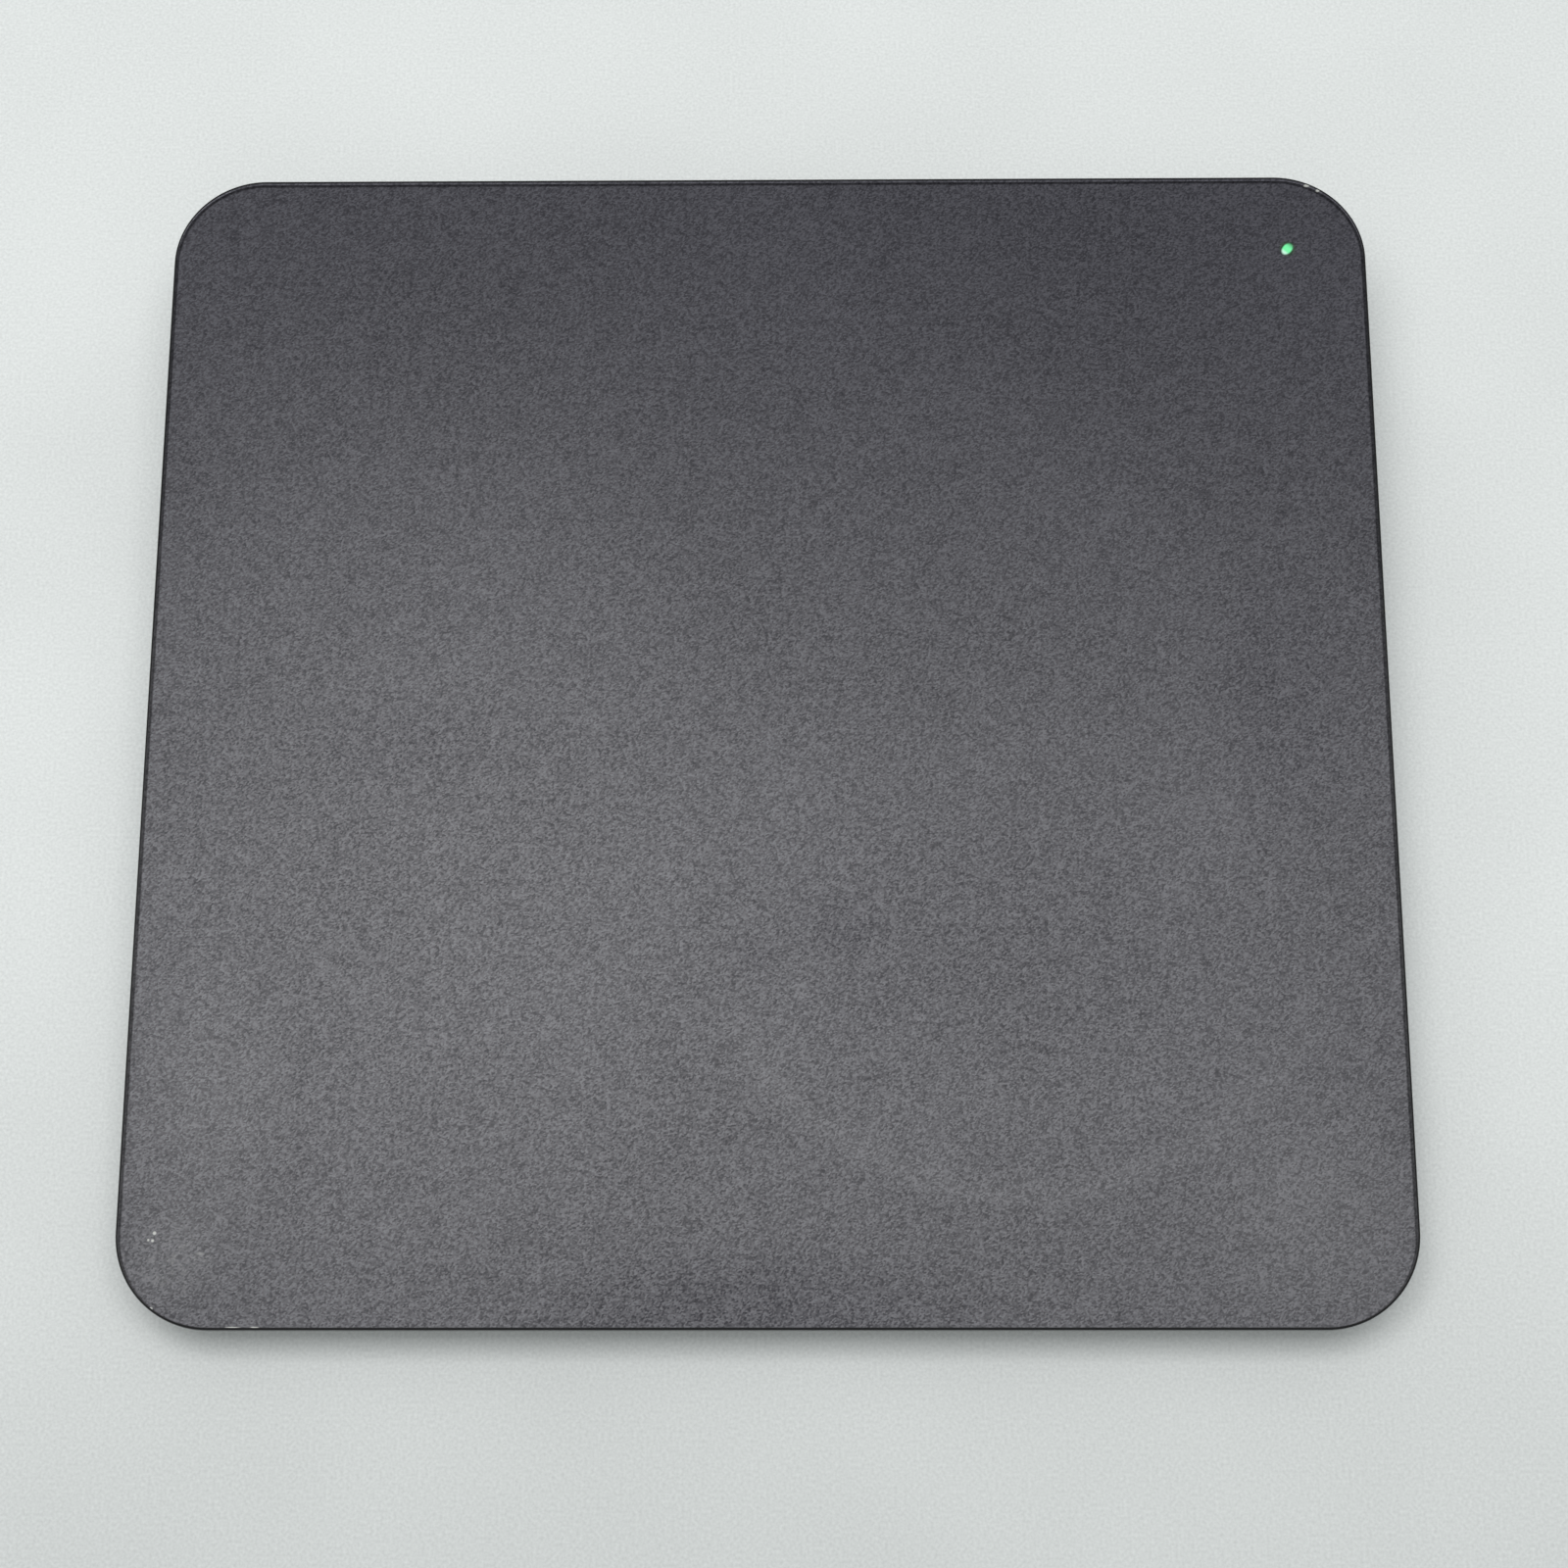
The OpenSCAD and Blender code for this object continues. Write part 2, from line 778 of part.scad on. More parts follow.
module main_board() {
    color([0.05, 0.28, 0.14])
        translate([0, 0, board_under])
            difference() {
                linear_extrude(board_t) {
                    translate([-board_w / 2, board_front])
                        square([board_w, board_d]);
                    translate([-usb_w / 2 - 3, board_mid])
                        square([usb_w + 6, tab_rear - board_mid]);
                    translate([arm_x, arm_front])
                        square([case_right - 0.4 - arm_x, arm_d]);
                }
                at_board_screws()
                    translate([0, 0, -1])
                        cylinder(d = board_screw_d + 0.2, h = board_t + 2);
            }
}

module board_screws() {
    color([0.7, 0.7, 0.68])
        at_board_screws()
            translate([0, 0, board_top])
                rotate([180, 0, 0])
                    pan_screw(board_screw_d, board_screw_len, board_head_d, board_head_h);
}

module radio_controller() {
    color([0.09, 0.09, 0.1])
        box_at(radio_x, chip_y, board_top, [radio_chip, radio_chip, chip_h]);
}

module charge_controller() {
    color([0.11, 0.11, 0.12])
        box_at(charge_x, chip_y, board_top, [charge_chip, charge_chip, chip_h]);
}

module quartz_crystal() {
    color([0.75, 0.75, 0.77])
        translate([radio_x - radio_chip / 2 - crystal_l, chip_y, board_top])
            linear_extrude(crystal_l / 4)
                rounded_rect(0.8 * crystal_l, crystal_l, crystal_l / 8);
}

module main_passives() {
    color([0.62, 0.5, 0.36])
        for (i = [-2:2]) {
            chip_capacitor(radio_x + i * cap_pitch, chip_y - radio_chip / 2 - cap_l, board_top);
            chip_capacitor(charge_x + i * cap_pitch, chip_y - charge_chip / 2 - cap_l, board_top);
            chip_capacitor((arm_x + case_right - case_l) / 2 + i * cap_pitch, slider_y, board_top);
        }
}

module main_socket() {
    color([0.9, 0.88, 0.8])
        difference() {
            box_at(ribbon_x, socket_front + socket_d / 2, board_top, [socket_w, socket_d, socket_h]);
            translate([ribbon_x, socket_front + ribbon_in / 2, ribbon_low])
                cube([ribbon_w + 0.2, ribbon_in + 0.4, ribbon_t + 0.1], center = true);
        }
}

module sensor_ribbon() {
    color([0.93, 0.9, 0.82])
        translate([ribbon_x - ribbon_w / 2, bend_y, ribbon_low])
            rotate([90, 0, 90])
                linear_extrude(ribbon_w) {
                    translate([0, -ribbon_t / 2])
                        square([socket_front - bend_y + ribbon_in, ribbon_t]);
                    translate([0, bend_r])
                        difference() {
                            circle(bend_r + ribbon_t / 2);
                            circle(bend_r - ribbon_t / 2);
                            translate([0, -20])
                                square([20, 20]);
                            rotate(tilt)
                                translate([0, -1])
                                    square([20, 20]);
                        }
                    translate([0, bend_r])
                        rotate(tilt)
                            translate([0, bend_r - ribbon_t / 2])
                                square([socket_front - bend_y + ribbon_in, ribbon_t]);
                }
}

// Outline of the charging socket: its two lower corners are cut off
module usb_outline(inset) {
    w = usb_w / 2 - inset;
    h = usb_h / 2 - inset;
    polygon([[-w, h], [w, h], [w, -0.1], [w - 1, -h], [-w + 1, -h], [-w, -0.1]]);
}

module usb_shell() {
    color([0.78, 0.78, 0.77])
        translate([0, mouth_y, port_z])
            rotate([90, 0, 0])
                difference() {
                    linear_extrude(usb_len)
                        usb_outline(0);
                    translate([0, 0, -1])
                        linear_extrude(usb_len + 2)
                            usb_outline(usb_t);
                }
}

module usb_tongue() {
    color([0.07, 0.07, 0.07])
        translate([0, mouth_y, port_z])
            rotate([90, 0, 0]) {
                translate([0, 0, usb_len - 1.2])
                    linear_extrude(1.2)
                        usb_outline(usb_t);
                translate([-usb_w / 4, 0.15, 0.8])
                    cube([usb_w / 2, 0.6, usb_len - 1]);
            }
}

module usb_contacts() {
    color([0.85, 0.7, 0.3])
        for (i = [-2:2])
            translate([i * usb_w * 0.087 - 0.16, mouth_y - usb_len + 1.2, port_z + 0.03])
                cube([0.32, usb_len - 2.2, 0.12]);
}

module slide_switch_case() {
    color([0.15, 0.15, 0.16])
        difference() {
            box_at(
                case_right - case_l / 2,
                slider_y,
                board_top,
                [case_l, actuator_w + 2 * slider_travel + 3, 2.2]
            );
            box_at(
                case_right,
                slider_y,
                slider_z - actuator_w / 2 - 0.1,
                [6, actuator_w + slider_travel + 0.4, actuator_w + 0.2]
            );
        }
}

// Cell

module battery_cell() {
    color([0.72, 0.74, 0.77])
        translate([-cell_left, cell_y, cell_low]) {
            translate([-cell_seal / 2, 0, 0])
                linear_extrude(cell_t)
                    rounded_rect(cell_w - cell_seal, cell_d, 1);
            box_at(
                (cell_w - cell_seal) / 2 - 0.5,
                0,
                (cell_t - 1.2 * lead_d) / 2,
                [cell_seal + 1, cell_d - 6, 1.2 * lead_d]
            );
        }
}

module battery_tape() {
    color([0.9, 0.85, 0.6])
        box_at(
            -cell_left - cell_seal / 2,
            cell_y,
            floor_top,
            [cell_w - cell_seal - 8, cell_d - 8, cell_tape_t]
        );
}

module battery_leads() {
    color([0.7, 0.1, 0.08])
        for (i = [0, 1]) {
            lead_x = plug_x + (i - 0.5) * lead_pitch;
            lead_y = arm_front - (5 + i) * lead_pitch;
            lead_z = cell_low + cell_t / 2;
            corner = [lead_x, lead_y, lead_z];
            rise = [lead_x, plug_front - lead_pitch, plug_z];
            wire_run([cell_right, lead_y, lead_z], corner, lead_d);
            wire_run(corner, rise, lead_d);
            wire_run(rise, [lead_x, plug_front + 0.6 * lead_d, plug_z], lead_d);
        }
}

module battery_plug() {
    color([0.92, 0.92, 0.9])
        difference() {
            box_at(plug_x, plug_front + plug_l / 2, plug_z - plug_h / 2, [plug_w, plug_l, plug_h]);
            for (i = [0, 1])
                translate([plug_x + (i - 0.5) * lead_pitch, plug_front + 1.3 * lead_d, plug_z])
                    rotate([90, 0, 0])
                        cylinder(d = 1.04 * lead_d + 0.1, h = plug_l);
        }
}

module battery_socket() {
    color([0.88, 0.88, 0.86])
        difference() {
            box_at(plug_x, arm_front + plug_l / 2 + 0.2, board_top, [plug_w + 1.4, plug_l, plug_h + 0.4]);
            box_at(
                plug_x,
                plug_front + plug_l / 2,
                plug_z - plug_h / 2 - 0.05,
                [plug_w + 0.1, plug_l + 0.1, plug_h + 0.1]
            );
        }
}

// Power knob

module power_knob() {
    color([0.1, 0.1, 0.105])
        translate([0, knob_y, slider_z])
            difference() {
                union() {
                    translate([plate_x + plate_t / 2, 0, 0])
                        rotate([90, 0, 90])
                            linear_extrude(slider_wall_x + knob_proud - plate_x - plate_t / 2)
                                rounded_rect(knob_l, knob_h, 0.5);
                    box_at(
                        plate_x + plate_t / 2,
                        0,
                        -plate_down,
                        [plate_t, plate_l, plate_up + plate_down]
                    );
                }
                for (i = [-1:1])
                    box_at(slider_wall_x + knob_proud, i * 1.3, -knob_h, [0.7, 0.5, 2 * knob_h]);
                box_at(
                    plate_x,
                    0,
                    -actuator_w / 2 - 0.05,
                    [1.2, actuator_w + 0.1, actuator_w + 0.1]
                );
            }
}

module switch_actuator() {
    color([0.85, 0.85, 0.83])
        translate([case_right - 2.5, knob_y - actuator_w / 2, slider_z - actuator_w / 2])
            cube([plate_x + 0.6 - case_right + 2.5, actuator_w, actuator_w]);
}

// Click feet

module foot_pad(x, y) {
    color([0.13, 0.13, 0.14])
        translate([x, y, 0])
            rotate_extrude()
                difference() {
                    square([pad_r, barrel_low + pad_seat]);
                    translate([pad_r - pad_edge_r, pad_edge_r])
                        difference() {
                            translate([0, -1])
                                square([1, 1]);
                            circle(pad_edge_r);
                        }
                }
}

module foot_plunger(x, y) {
    color([0.2, 0.2, 0.21])
        intersection() {
            translate([x, y, 0])
                difference() {
                    union() {
                        translate([0, 0, barrel_low])
                            cylinder(d = barrel_d, h = floor_top - barrel_low + 0.1);
                        translate([0, 0, floor_top])
                            cylinder(d = flange_d, h = foot_flange_t);
                        translate([0, 0, floor_top])
                            cylinder(d = foot_post_d, h = rear_h);
                    }
                    translate([0, 0, -1])
                        cylinder(r = pad_r + 0.05, h = barrel_low + pad_seat + 1);
                }
            under_deck(tip_depth);
        }
}

module click_stem(x, y) {
    color([0.85, 0.85, 0.82])
        deck(tip_depth)
            translate([x, deck_along(y, tip_depth), 0])
                cylinder(d = stem_d, h = stem_out + stem_inside);
}

touch_glass();
bond_film();
frame_tape();
sensor_board();
touch_controller();
sensor_passives();
sensor_socket();
click_switches();
status_led();
light_guide();
top_frame();
base_shell();
case_screws();
main_board();
board_screws();
radio_controller();
charge_controller();
quartz_crystal();
main_passives();
main_socket();
sensor_ribbon();
usb_shell();
usb_tongue();
usb_contacts();
slide_switch_case();
battery_cell();
battery_tape();
battery_leads();
battery_plug();
battery_socket();
power_knob();
switch_actuator();
foot_pad(-foot_x, foot_front_y);  // foot_pad_front_left
foot_plunger(-foot_x, foot_front_y);  // foot_plunger_front_left
click_stem(-foot_x, foot_front_y);  // click_stem_front_left
foot_pad(foot_x, foot_front_y);  // foot_pad_front_right
foot_plunger(foot_x, foot_front_y);  // foot_plunger_front_right
click_stem(foot_x, foot_front_y);  // click_stem_front_right
foot_pad(-foot_x, foot_rear_y);  // foot_pad_rear_left
foot_plunger(-foot_x, foot_rear_y);  // foot_plunger_rear_left
click_stem(-foot_x, foot_rear_y);  // click_stem_rear_left
foot_pad(foot_x, foot_rear_y);  // foot_pad_rear_right
foot_plunger(foot_x, foot_rear_y);  // foot_plunger_rear_right
click_stem(foot_x, foot_rear_y);  // click_stem_rear_right
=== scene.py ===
import math

import bmesh
import bpy
from mathutils import Euler, Matrix, Vector


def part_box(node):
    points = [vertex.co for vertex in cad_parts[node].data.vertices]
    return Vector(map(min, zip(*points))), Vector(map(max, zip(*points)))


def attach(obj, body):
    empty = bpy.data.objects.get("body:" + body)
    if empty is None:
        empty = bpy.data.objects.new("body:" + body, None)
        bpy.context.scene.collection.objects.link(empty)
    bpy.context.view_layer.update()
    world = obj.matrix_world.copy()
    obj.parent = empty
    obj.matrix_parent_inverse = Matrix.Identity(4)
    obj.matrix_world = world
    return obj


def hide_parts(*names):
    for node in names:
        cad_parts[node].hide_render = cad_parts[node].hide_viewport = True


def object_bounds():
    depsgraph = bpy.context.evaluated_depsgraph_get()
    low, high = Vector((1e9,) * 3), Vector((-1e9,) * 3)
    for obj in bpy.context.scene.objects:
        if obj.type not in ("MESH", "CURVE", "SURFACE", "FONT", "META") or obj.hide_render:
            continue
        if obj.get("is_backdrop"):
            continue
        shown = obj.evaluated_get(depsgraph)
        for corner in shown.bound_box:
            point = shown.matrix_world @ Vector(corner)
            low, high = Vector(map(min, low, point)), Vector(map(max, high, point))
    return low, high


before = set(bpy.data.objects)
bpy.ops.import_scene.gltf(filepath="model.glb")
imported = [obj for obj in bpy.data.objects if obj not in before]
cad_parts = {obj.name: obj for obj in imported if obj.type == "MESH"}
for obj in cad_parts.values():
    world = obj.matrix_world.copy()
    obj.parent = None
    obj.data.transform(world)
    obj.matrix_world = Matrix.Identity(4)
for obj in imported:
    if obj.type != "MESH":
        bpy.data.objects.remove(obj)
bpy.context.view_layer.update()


# Base shell
# A shallow dish moulded from ABS in one shot and sprayed satin silver. Its flank leans in from the
# rim as one arc. Bosses, fences and ribs inside carry the boards and the cell, and four screws
# close it.

MM = 0.001


class Wire:
    """A socket in a node tree. Sums on it add Math nodes, and add() puts in any other node."""

    def __init__(self, tree, socket=None):
        self.tree = tree
        self.socket = socket

    def add(self, kind, settings=(), sockets=(), out=0):
        node = self.tree.nodes.new(kind)
        for name, value in dict(settings).items():
            setattr(node, name, value)
        for name, value in dict(sockets).items():
            for one in value if isinstance(value, list) else [value]:
                if isinstance(one, Wire):
                    self.tree.links.new(one.socket, node.inputs[name])
                else:
                    node.inputs[name].default_value = one
        return Wire(self.tree, node.outputs[out])

    def math(self, operation, first, second=0.0):
        return self.add("ShaderNodeMath", {"operation": operation}, {0: first, 1: second})

    def __add__(self, other):
        return self.math("ADD", self, other)

    __radd__ = __add__

    def __sub__(self, other):
        return self.math("SUBTRACT", self, other)

    def __rsub__(self, other):
        return self.math("SUBTRACT", other, self)

    def __mul__(self, other):
        return self.math("MULTIPLY", self, other)

    __rmul__ = __mul__

    def __truediv__(self, other):
        return self.math("DIVIDE", self, other)

    def axis(self, name):
        return self.add("ShaderNodeSeparateXYZ", sockets={0: self}, out=name)

    def noise(self, scale, detail=2.0, rough=0.5):
        sockets = {"Vector": self, "Scale": scale, "Detail": detail, "Roughness": rough}
        return self.add("ShaderNodeTexNoise", sockets=sockets)

    def step(self, low, high):
        """0 below low, 1 above high and smooth between."""
        settings = {"interpolation_type": "SMOOTHSTEP"}
        sockets = {"Value": self, "From Min": low, "From Max": high}
        return self.add("ShaderNodeMapRange", settings, sockets)

    def mix(self, first, second):
        """Colour between two, by this value."""
        return self.add("ShaderNodeMix", {"data_type": "RGBA"}, {0: self, 6: first, 7: second}, 2)

    def bump(self, strength, depth):
        """Normal of a relief with this height, depth in millimetres."""
        sockets = {"Height": self, "Strength": strength, "Distance": depth * MM}
        return self.add("ShaderNodeBump", sockets=sockets)


def new_finish(name, constants):
    """Material, its shader, and the place on the piece in millimetres."""
    finish = bpy.data.materials.new(name)
    finish.use_nodes = True
    shader = finish.node_tree.nodes["Principled BSDF"]
    for socket, value in constants.items():
        shader.inputs[socket].default_value = value
    metres = Wire(finish.node_tree).add("ShaderNodeTexCoord", out="Object")
    place = metres.add("ShaderNodeVectorMath", {"operation": "SCALE"}, {0: metres, "Scale": 1 / MM})
    return finish, shader, place


def drive(shader, wires):
    for socket, wire in wires.items():
        wire.tree.links.new(wire.socket, shader.inputs[socket])


def tint(colour, factor):
    return tuple(min(1.0, part * factor) for part in colour[:3]) + (1.0,)


def rounded_copy(node, radius, segments):
    """Welded copy of a solid with its sharp edges broken by a small radius, in millimetres."""
    weld, flat, sharp = 0.002 * MM, math.radians(0.3), math.radians(30)
    solid = bmesh.new()
    solid.from_mesh(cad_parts[node].data)
    bmesh.ops.remove_doubles(solid, verts=solid.verts[:], dist=weld)
    bmesh.ops.dissolve_limit(
        solid, angle_limit=flat, verts=solid.verts[:], edges=solid.edges[:]
    )
    if radius:
        bmesh.ops.bevel(
            solid,
            geom=[edge for edge in solid.edges if edge.calc_face_angle(0) > sharp],
            offset=radius * MM,
            segments=segments,
            profile=0.5,
            affect="EDGES",
            clamp_overlap=False,
        )
    mesh = bpy.data.meshes.new(node + "_part")
    solid.to_mesh(mesh)
    solid.free()
    mesh.shade_smooth()
    mesh.set_sharp_from_angle(angle=math.radians(40))
    return mesh


def settle(piece):
    """Turns what the piece's modifiers give into its own plain mesh."""
    seen = piece.evaluated_get(bpy.context.evaluated_depsgraph_get())
    made = bpy.data.meshes.new_from_object(seen)
    piece.modifiers.clear()
    made.name = piece.name
    piece.data = made


def even_out(piece):
    """Lets the broad faces of the piece set the shading of its eased edges."""
    piece.modifiers.new("even_normals", "WEIGHTED_NORMAL").keep_sharp = True
    settle(piece)


def dress(node, body, finish, radius=0.0, segments=2):
    """Adds a finished piece that stands for a node, its edges eased by radius in millimetres."""
    mesh = rounded_copy(node, radius, segments)
    mesh.materials.append(finish)
    piece = bpy.data.objects.new(node + "_part", mesh)
    bpy.context.scene.collection.objects.link(piece)
    even_out(piece)
    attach(piece, body)
    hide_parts(node)


SILVER = (0.50, 0.505, 0.515, 1.0)
silver_paint, shader, place = new_finish("silver_paint", {"Metallic": 0.45, "IOR": 1.5})
spray = place.noise(0.045, 3)
flake = place.noise(9, 2, 0.7)
orange_peel = place.noise(1.1, 3)
hairline = place.add(
    "ShaderNodeMapping",
    {"vector_type": "TEXTURE"},
    {"Vector": place, "Rotation": (0, 0, 0.5), "Scale": (14, 0.35, 1)},
)
rubbed = (1 - place.axis("Z").step(0.95, 1.6)) * hairline.noise(1, 3, 0.6).step(0.6, 0.72)
painted = (spray * 0.6 + flake * 0.4).mix(tint(SILVER, 0.9), tint(SILVER, 1.1))
drive(
    shader,
    {
        "Base Color": (rubbed * 0.3).mix(painted, tint(SILVER, 0.6)),
        "Roughness": flake * 0.16 + spray * 0.08 + rubbed * 0.15 + 0.27,
        "Normal": (flake * 0.7 + orange_peel).bump(0.22, 0.015),
    },
)
dress("base_shell", "pad", silver_paint, 0.12)


# Click feet
# Each corner stands on a round rubber pad glued into a black acetal plunger. The plunger slides in
# a bore of the base, its flange keeps it in, and its post works the stem of a click switch above.


def moulded_resin(name, colour, rough, grain=6.0, drift=0.12):
    """Moulding resin: spark-eroded grain, so many per millimetre, and a slow drift of shade."""
    finish, shader, place = new_finish(name, {"IOR": 1.5})
    slow = place.noise(0.15, 3)
    fine = place.noise(grain, 3, 0.6)
    drive(
        shader,
        {
            "Base Color": (slow * 0.5 + fine * 0.5).mix(
                tint(colour, 1 - drift), tint(colour, 1 + drift)
            ),
            "Roughness": fine * 0.16 + slow * 0.12 + (rough - 0.14),
            "Normal": fine.bump(0.3, 0.012),
        },
    )
    return finish


CORNERS = ("front_left", "front_right", "rear_left", "rear_right")
RUBBER = (0.028, 0.028, 0.030, 1.0)
DUST = (0.16, 0.155, 0.145, 1.0)

foot_rubber, shader, place = new_finish("foot_rubber", {"IOR": 1.5, "Specular IOR Level": 0.35})
skin = place.noise(4.5, 4, 0.65)
worn = (1 - place.axis("Z").step(0.0, 0.12)) * place.noise(1.6, 5, 0.7).step(0.42, 0.78)
drive(
    shader,
    {
        "Base Color": (worn * 0.3).mix(skin.mix(tint(RUBBER, 0.8), tint(RUBBER, 1.25)), DUST),
        "Roughness": skin * 0.14 + worn * 0.1 + 0.68,
        "Normal": skin.bump(0.5, 0.02),
    },
)
black_acetal = moulded_resin("black_acetal", (0.02, 0.02, 0.021), 0.42, 4)
stem_resin = moulded_resin("stem_resin", (0.72, 0.72, 0.70), 0.45, 5)

for corner in CORNERS:
    body = "click_foot_" + corner
    dress("foot_pad_" + corner, body, foot_rubber)
    dress("foot_plunger_" + corner, body, black_acetal, 0.06)
    dress("click_stem_" + corner, body, stem_resin, 0.06)


# Cell
# A flat lithium pouch in creased aluminium foil, held to the floor by double-sided tape. Two
# sleeved leads run from its sealed edge to a small ivory plug in a socket on the main board.

FOIL = (0.62, 0.64, 0.66, 1.0)
cell_foil, shader, place = new_finish("cell_foil", {"Metallic": 0.9})
crease = place.noise(0.35, 5, 0.6)
knurl = place.noise(5, 2)
drive(
    shader,
    {
        "Base Color": crease.mix(tint(FOIL, 0.86), tint(FOIL, 1.1)),
        "Roughness": crease * 0.2 + knurl * 0.1 + 0.22,
        "Normal": (crease + knurl * 0.1).bump(0.35, 0.12),
    },
)
cell_tape = moulded_resin("cell_tape", (0.70, 0.66, 0.50), 0.6, 3)
dress("battery_tape", "pad", cell_tape)
dress("battery_cell", "pad", cell_foil, 0.3, 3)

LEAD_RED = (0.42, 0.022, 0.016, 1.0)
LEAD_BLACK = (0.02, 0.02, 0.02, 1.0)
LEAD_SPACING = 1.55
lead_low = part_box("battery_leads")[0]
plug_low, plug_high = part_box("battery_plug")
lead_sleeve, shader, place = new_finish("lead_sleeve", {"IOR": 1.48})
# Where the red lead ends and the black one begins, in millimetres across and along
split_x = (plug_low.x + plug_high.x) / 2 / MM
split_y = lead_low.y / MM + LEAD_SPACING
second = place.math(
    "MAXIMUM",
    place.axis("X").step(split_x - 0.05, split_x + 0.05),
    1 - place.axis("Y").step(split_y - 0.05, split_y + 0.05),
)
scuff = place.noise(3, 4)
red = scuff.mix(LEAD_RED, tint(LEAD_RED, 1.3))
black = scuff.mix(LEAD_BLACK, tint(LEAD_BLACK, 1.6))
drive(
    shader,
    {
        "Base Color": second.mix(red, black),
        "Roughness": scuff * 0.2 + 0.35,
        "Normal": scuff.bump(0.2, 0.02),
    },
)
ivory_resin = moulded_resin("ivory_resin", (0.74, 0.71, 0.61), 0.48, 5)
dress("battery_leads", "pad", lead_sleeve)
dress("battery_plug", "pad", ivory_resin, 0.08)
dress("battery_socket", "pad", ivory_resin, 0.08)


# Main board
# Glass-epoxy board under green solder mask, screwed to the standoffs of the base. It carries the
# radio chip, the charging chip, the crystal can, capacitors and the sockets for cell and ribbon.

MASK = (0.010, 0.085, 0.042, 1.0)
TINNED = (0.62, 0.60, 0.55, 1.0)
solder_mask, shader, place = new_finish("solder_mask", {"IOR": 1.55})
block = place.add(
    "ShaderNodeTexVoronoi",
    {"distance": "CHEBYCHEV"},
    {"Vector": place, "Scale": 0.13},
    "Color",
)
turned = block.axis("X").step(0.49, 0.51)
lane = place.axis("X") * turned + place.axis("Y") * (1 - turned)
track = place.math("PINGPONG", lane, 0.45).step(0.24, 0.28)
hole = place.add("ShaderNodeTexVoronoi", sockets={"Vector": place, "Scale": 0.4}, out="Distance")
via = 1 - hole.step(0.13, 0.16)
stain = place.noise(0.2, 3)
masked = track.mix(tint(MASK, 0.75), tint(MASK, 1.5))
drive(
    shader,
    {
        "Base Color": via.mix(stain.mix(masked, tint(MASK, 1.1)), TINNED),
        "Metallic": via * 0.9,
        "Roughness": stain * 0.12 + via * 0.1 + 0.24,
        "Normal": (track + via).bump(0.3, 0.03),
    },
)
dress("main_board", "pad", solder_mask, 0.04)


def chip_resin(node):
    """Moulded chip: dull grit all over and a round dimple by the first corner."""
    low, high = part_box(node)
    finish, shader, place = new_finish(node + "_resin", {"IOR": 1.52})
    corner = Vector((low.x, high.y, (low.z + high.z) / 2)) / MM + Vector((0.9, -0.9, 0))
    flat = place.add("ShaderNodeVectorMath", {"operation": "MULTIPLY"}, {0: place, 1: (1, 1, 0)})
    sockets = {0: flat, 1: (corner.x, corner.y, 0)}
    away = flat.add("ShaderNodeVectorMath", {"operation": "DISTANCE"}, sockets, "Value")
    dimple = 1 - away.step(0.32, 0.4)
    grit = place.noise(7, 3, 0.6)
    drive(
        shader,
        {
            "Base Color": grit.mix((0.014, 0.014, 0.015, 1), (0.03, 0.03, 0.032, 1)),
            "Roughness": grit * 0.2 + 0.5 - dimple * 0.25,
            "Normal": (grit * 0.2 - dimple).bump(0.4, 0.04),
        },
    )
    return finish


for chip in ("radio_controller", "charge_controller"):
    dress(chip, "pad", chip_resin(chip), 0.06)


def plated_metal(name, colour, rough, streak):
    """Plated sheet: rolled streaks along one axis, a few dull patches."""
    finish, shader, place = new_finish(name, {"Metallic": 1.0})
    rolled = place.add("ShaderNodeVectorMath", {"operation": "MULTIPLY"}, {0: place, 1: streak})
    line = rolled.noise(2.5, 3)
    patch = place.noise(0.7, 4)
    drive(
        shader,
        {
            "Base Color": patch.mix(tint(colour, 0.85), tint(colour, 1.08)),
            "Roughness": line * 0.16 + patch * 0.12 + (rough - 0.14),
            "Normal": line.bump(0.12, 0.01),
        },
    )
    return finish


nickel = plated_metal("nickel_plate", (0.62, 0.61, 0.59), 0.32, (4, 0.4, 4))
dress("quartz_crystal", "pad", nickel, 0.15, 3)
dress("main_socket", "pad", ivory_resin, 0.06)


def solid_places(node):
    """Low and high corner of each separate solid of a node, in order across and along."""
    solid = bmesh.new()
    solid.from_mesh(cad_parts[node].data)
    bmesh.ops.remove_doubles(solid, verts=solid.verts[:], dist=0.002 * MM)
    left = set(solid.verts)
    boxes = []
    while left:
        joined = [left.pop()]
        for vert in joined:
            for edge in vert.link_edges:
                other = edge.other_vert(vert)
                if other in left:
                    left.remove(other)
                    joined.append(other)
        low = Vector([min(vert.co[i] for vert in joined) for i in range(3)])
        high = Vector([max(vert.co[i] for vert in joined) for i in range(3)])
        boxes.append((low, high))
    solid.free()
    return sorted(boxes, key=lambda box: (round(box[0].x, 5), round(box[0].y, 5)))


def new_tree(name, inputs):
    """Geometry tree with these named inputs, and a wire from each of them."""
    tree = bpy.data.node_groups.new(name, "GeometryNodeTree")
    tree.interface.new_socket("Geometry", in_out="OUTPUT", socket_type="NodeSocketGeometry")
    tree.interface.new_socket("Geometry", in_out="INPUT", socket_type="NodeSocketGeometry")
    for label, kind in inputs.items():
        tree.interface.new_socket(label, in_out="INPUT", socket_type="NodeSocket" + kind)
    entry = tree.nodes.new("NodeGroupInput")
    return tree, {socket.name: Wire(tree, socket) for socket in entry.outputs if socket.name}


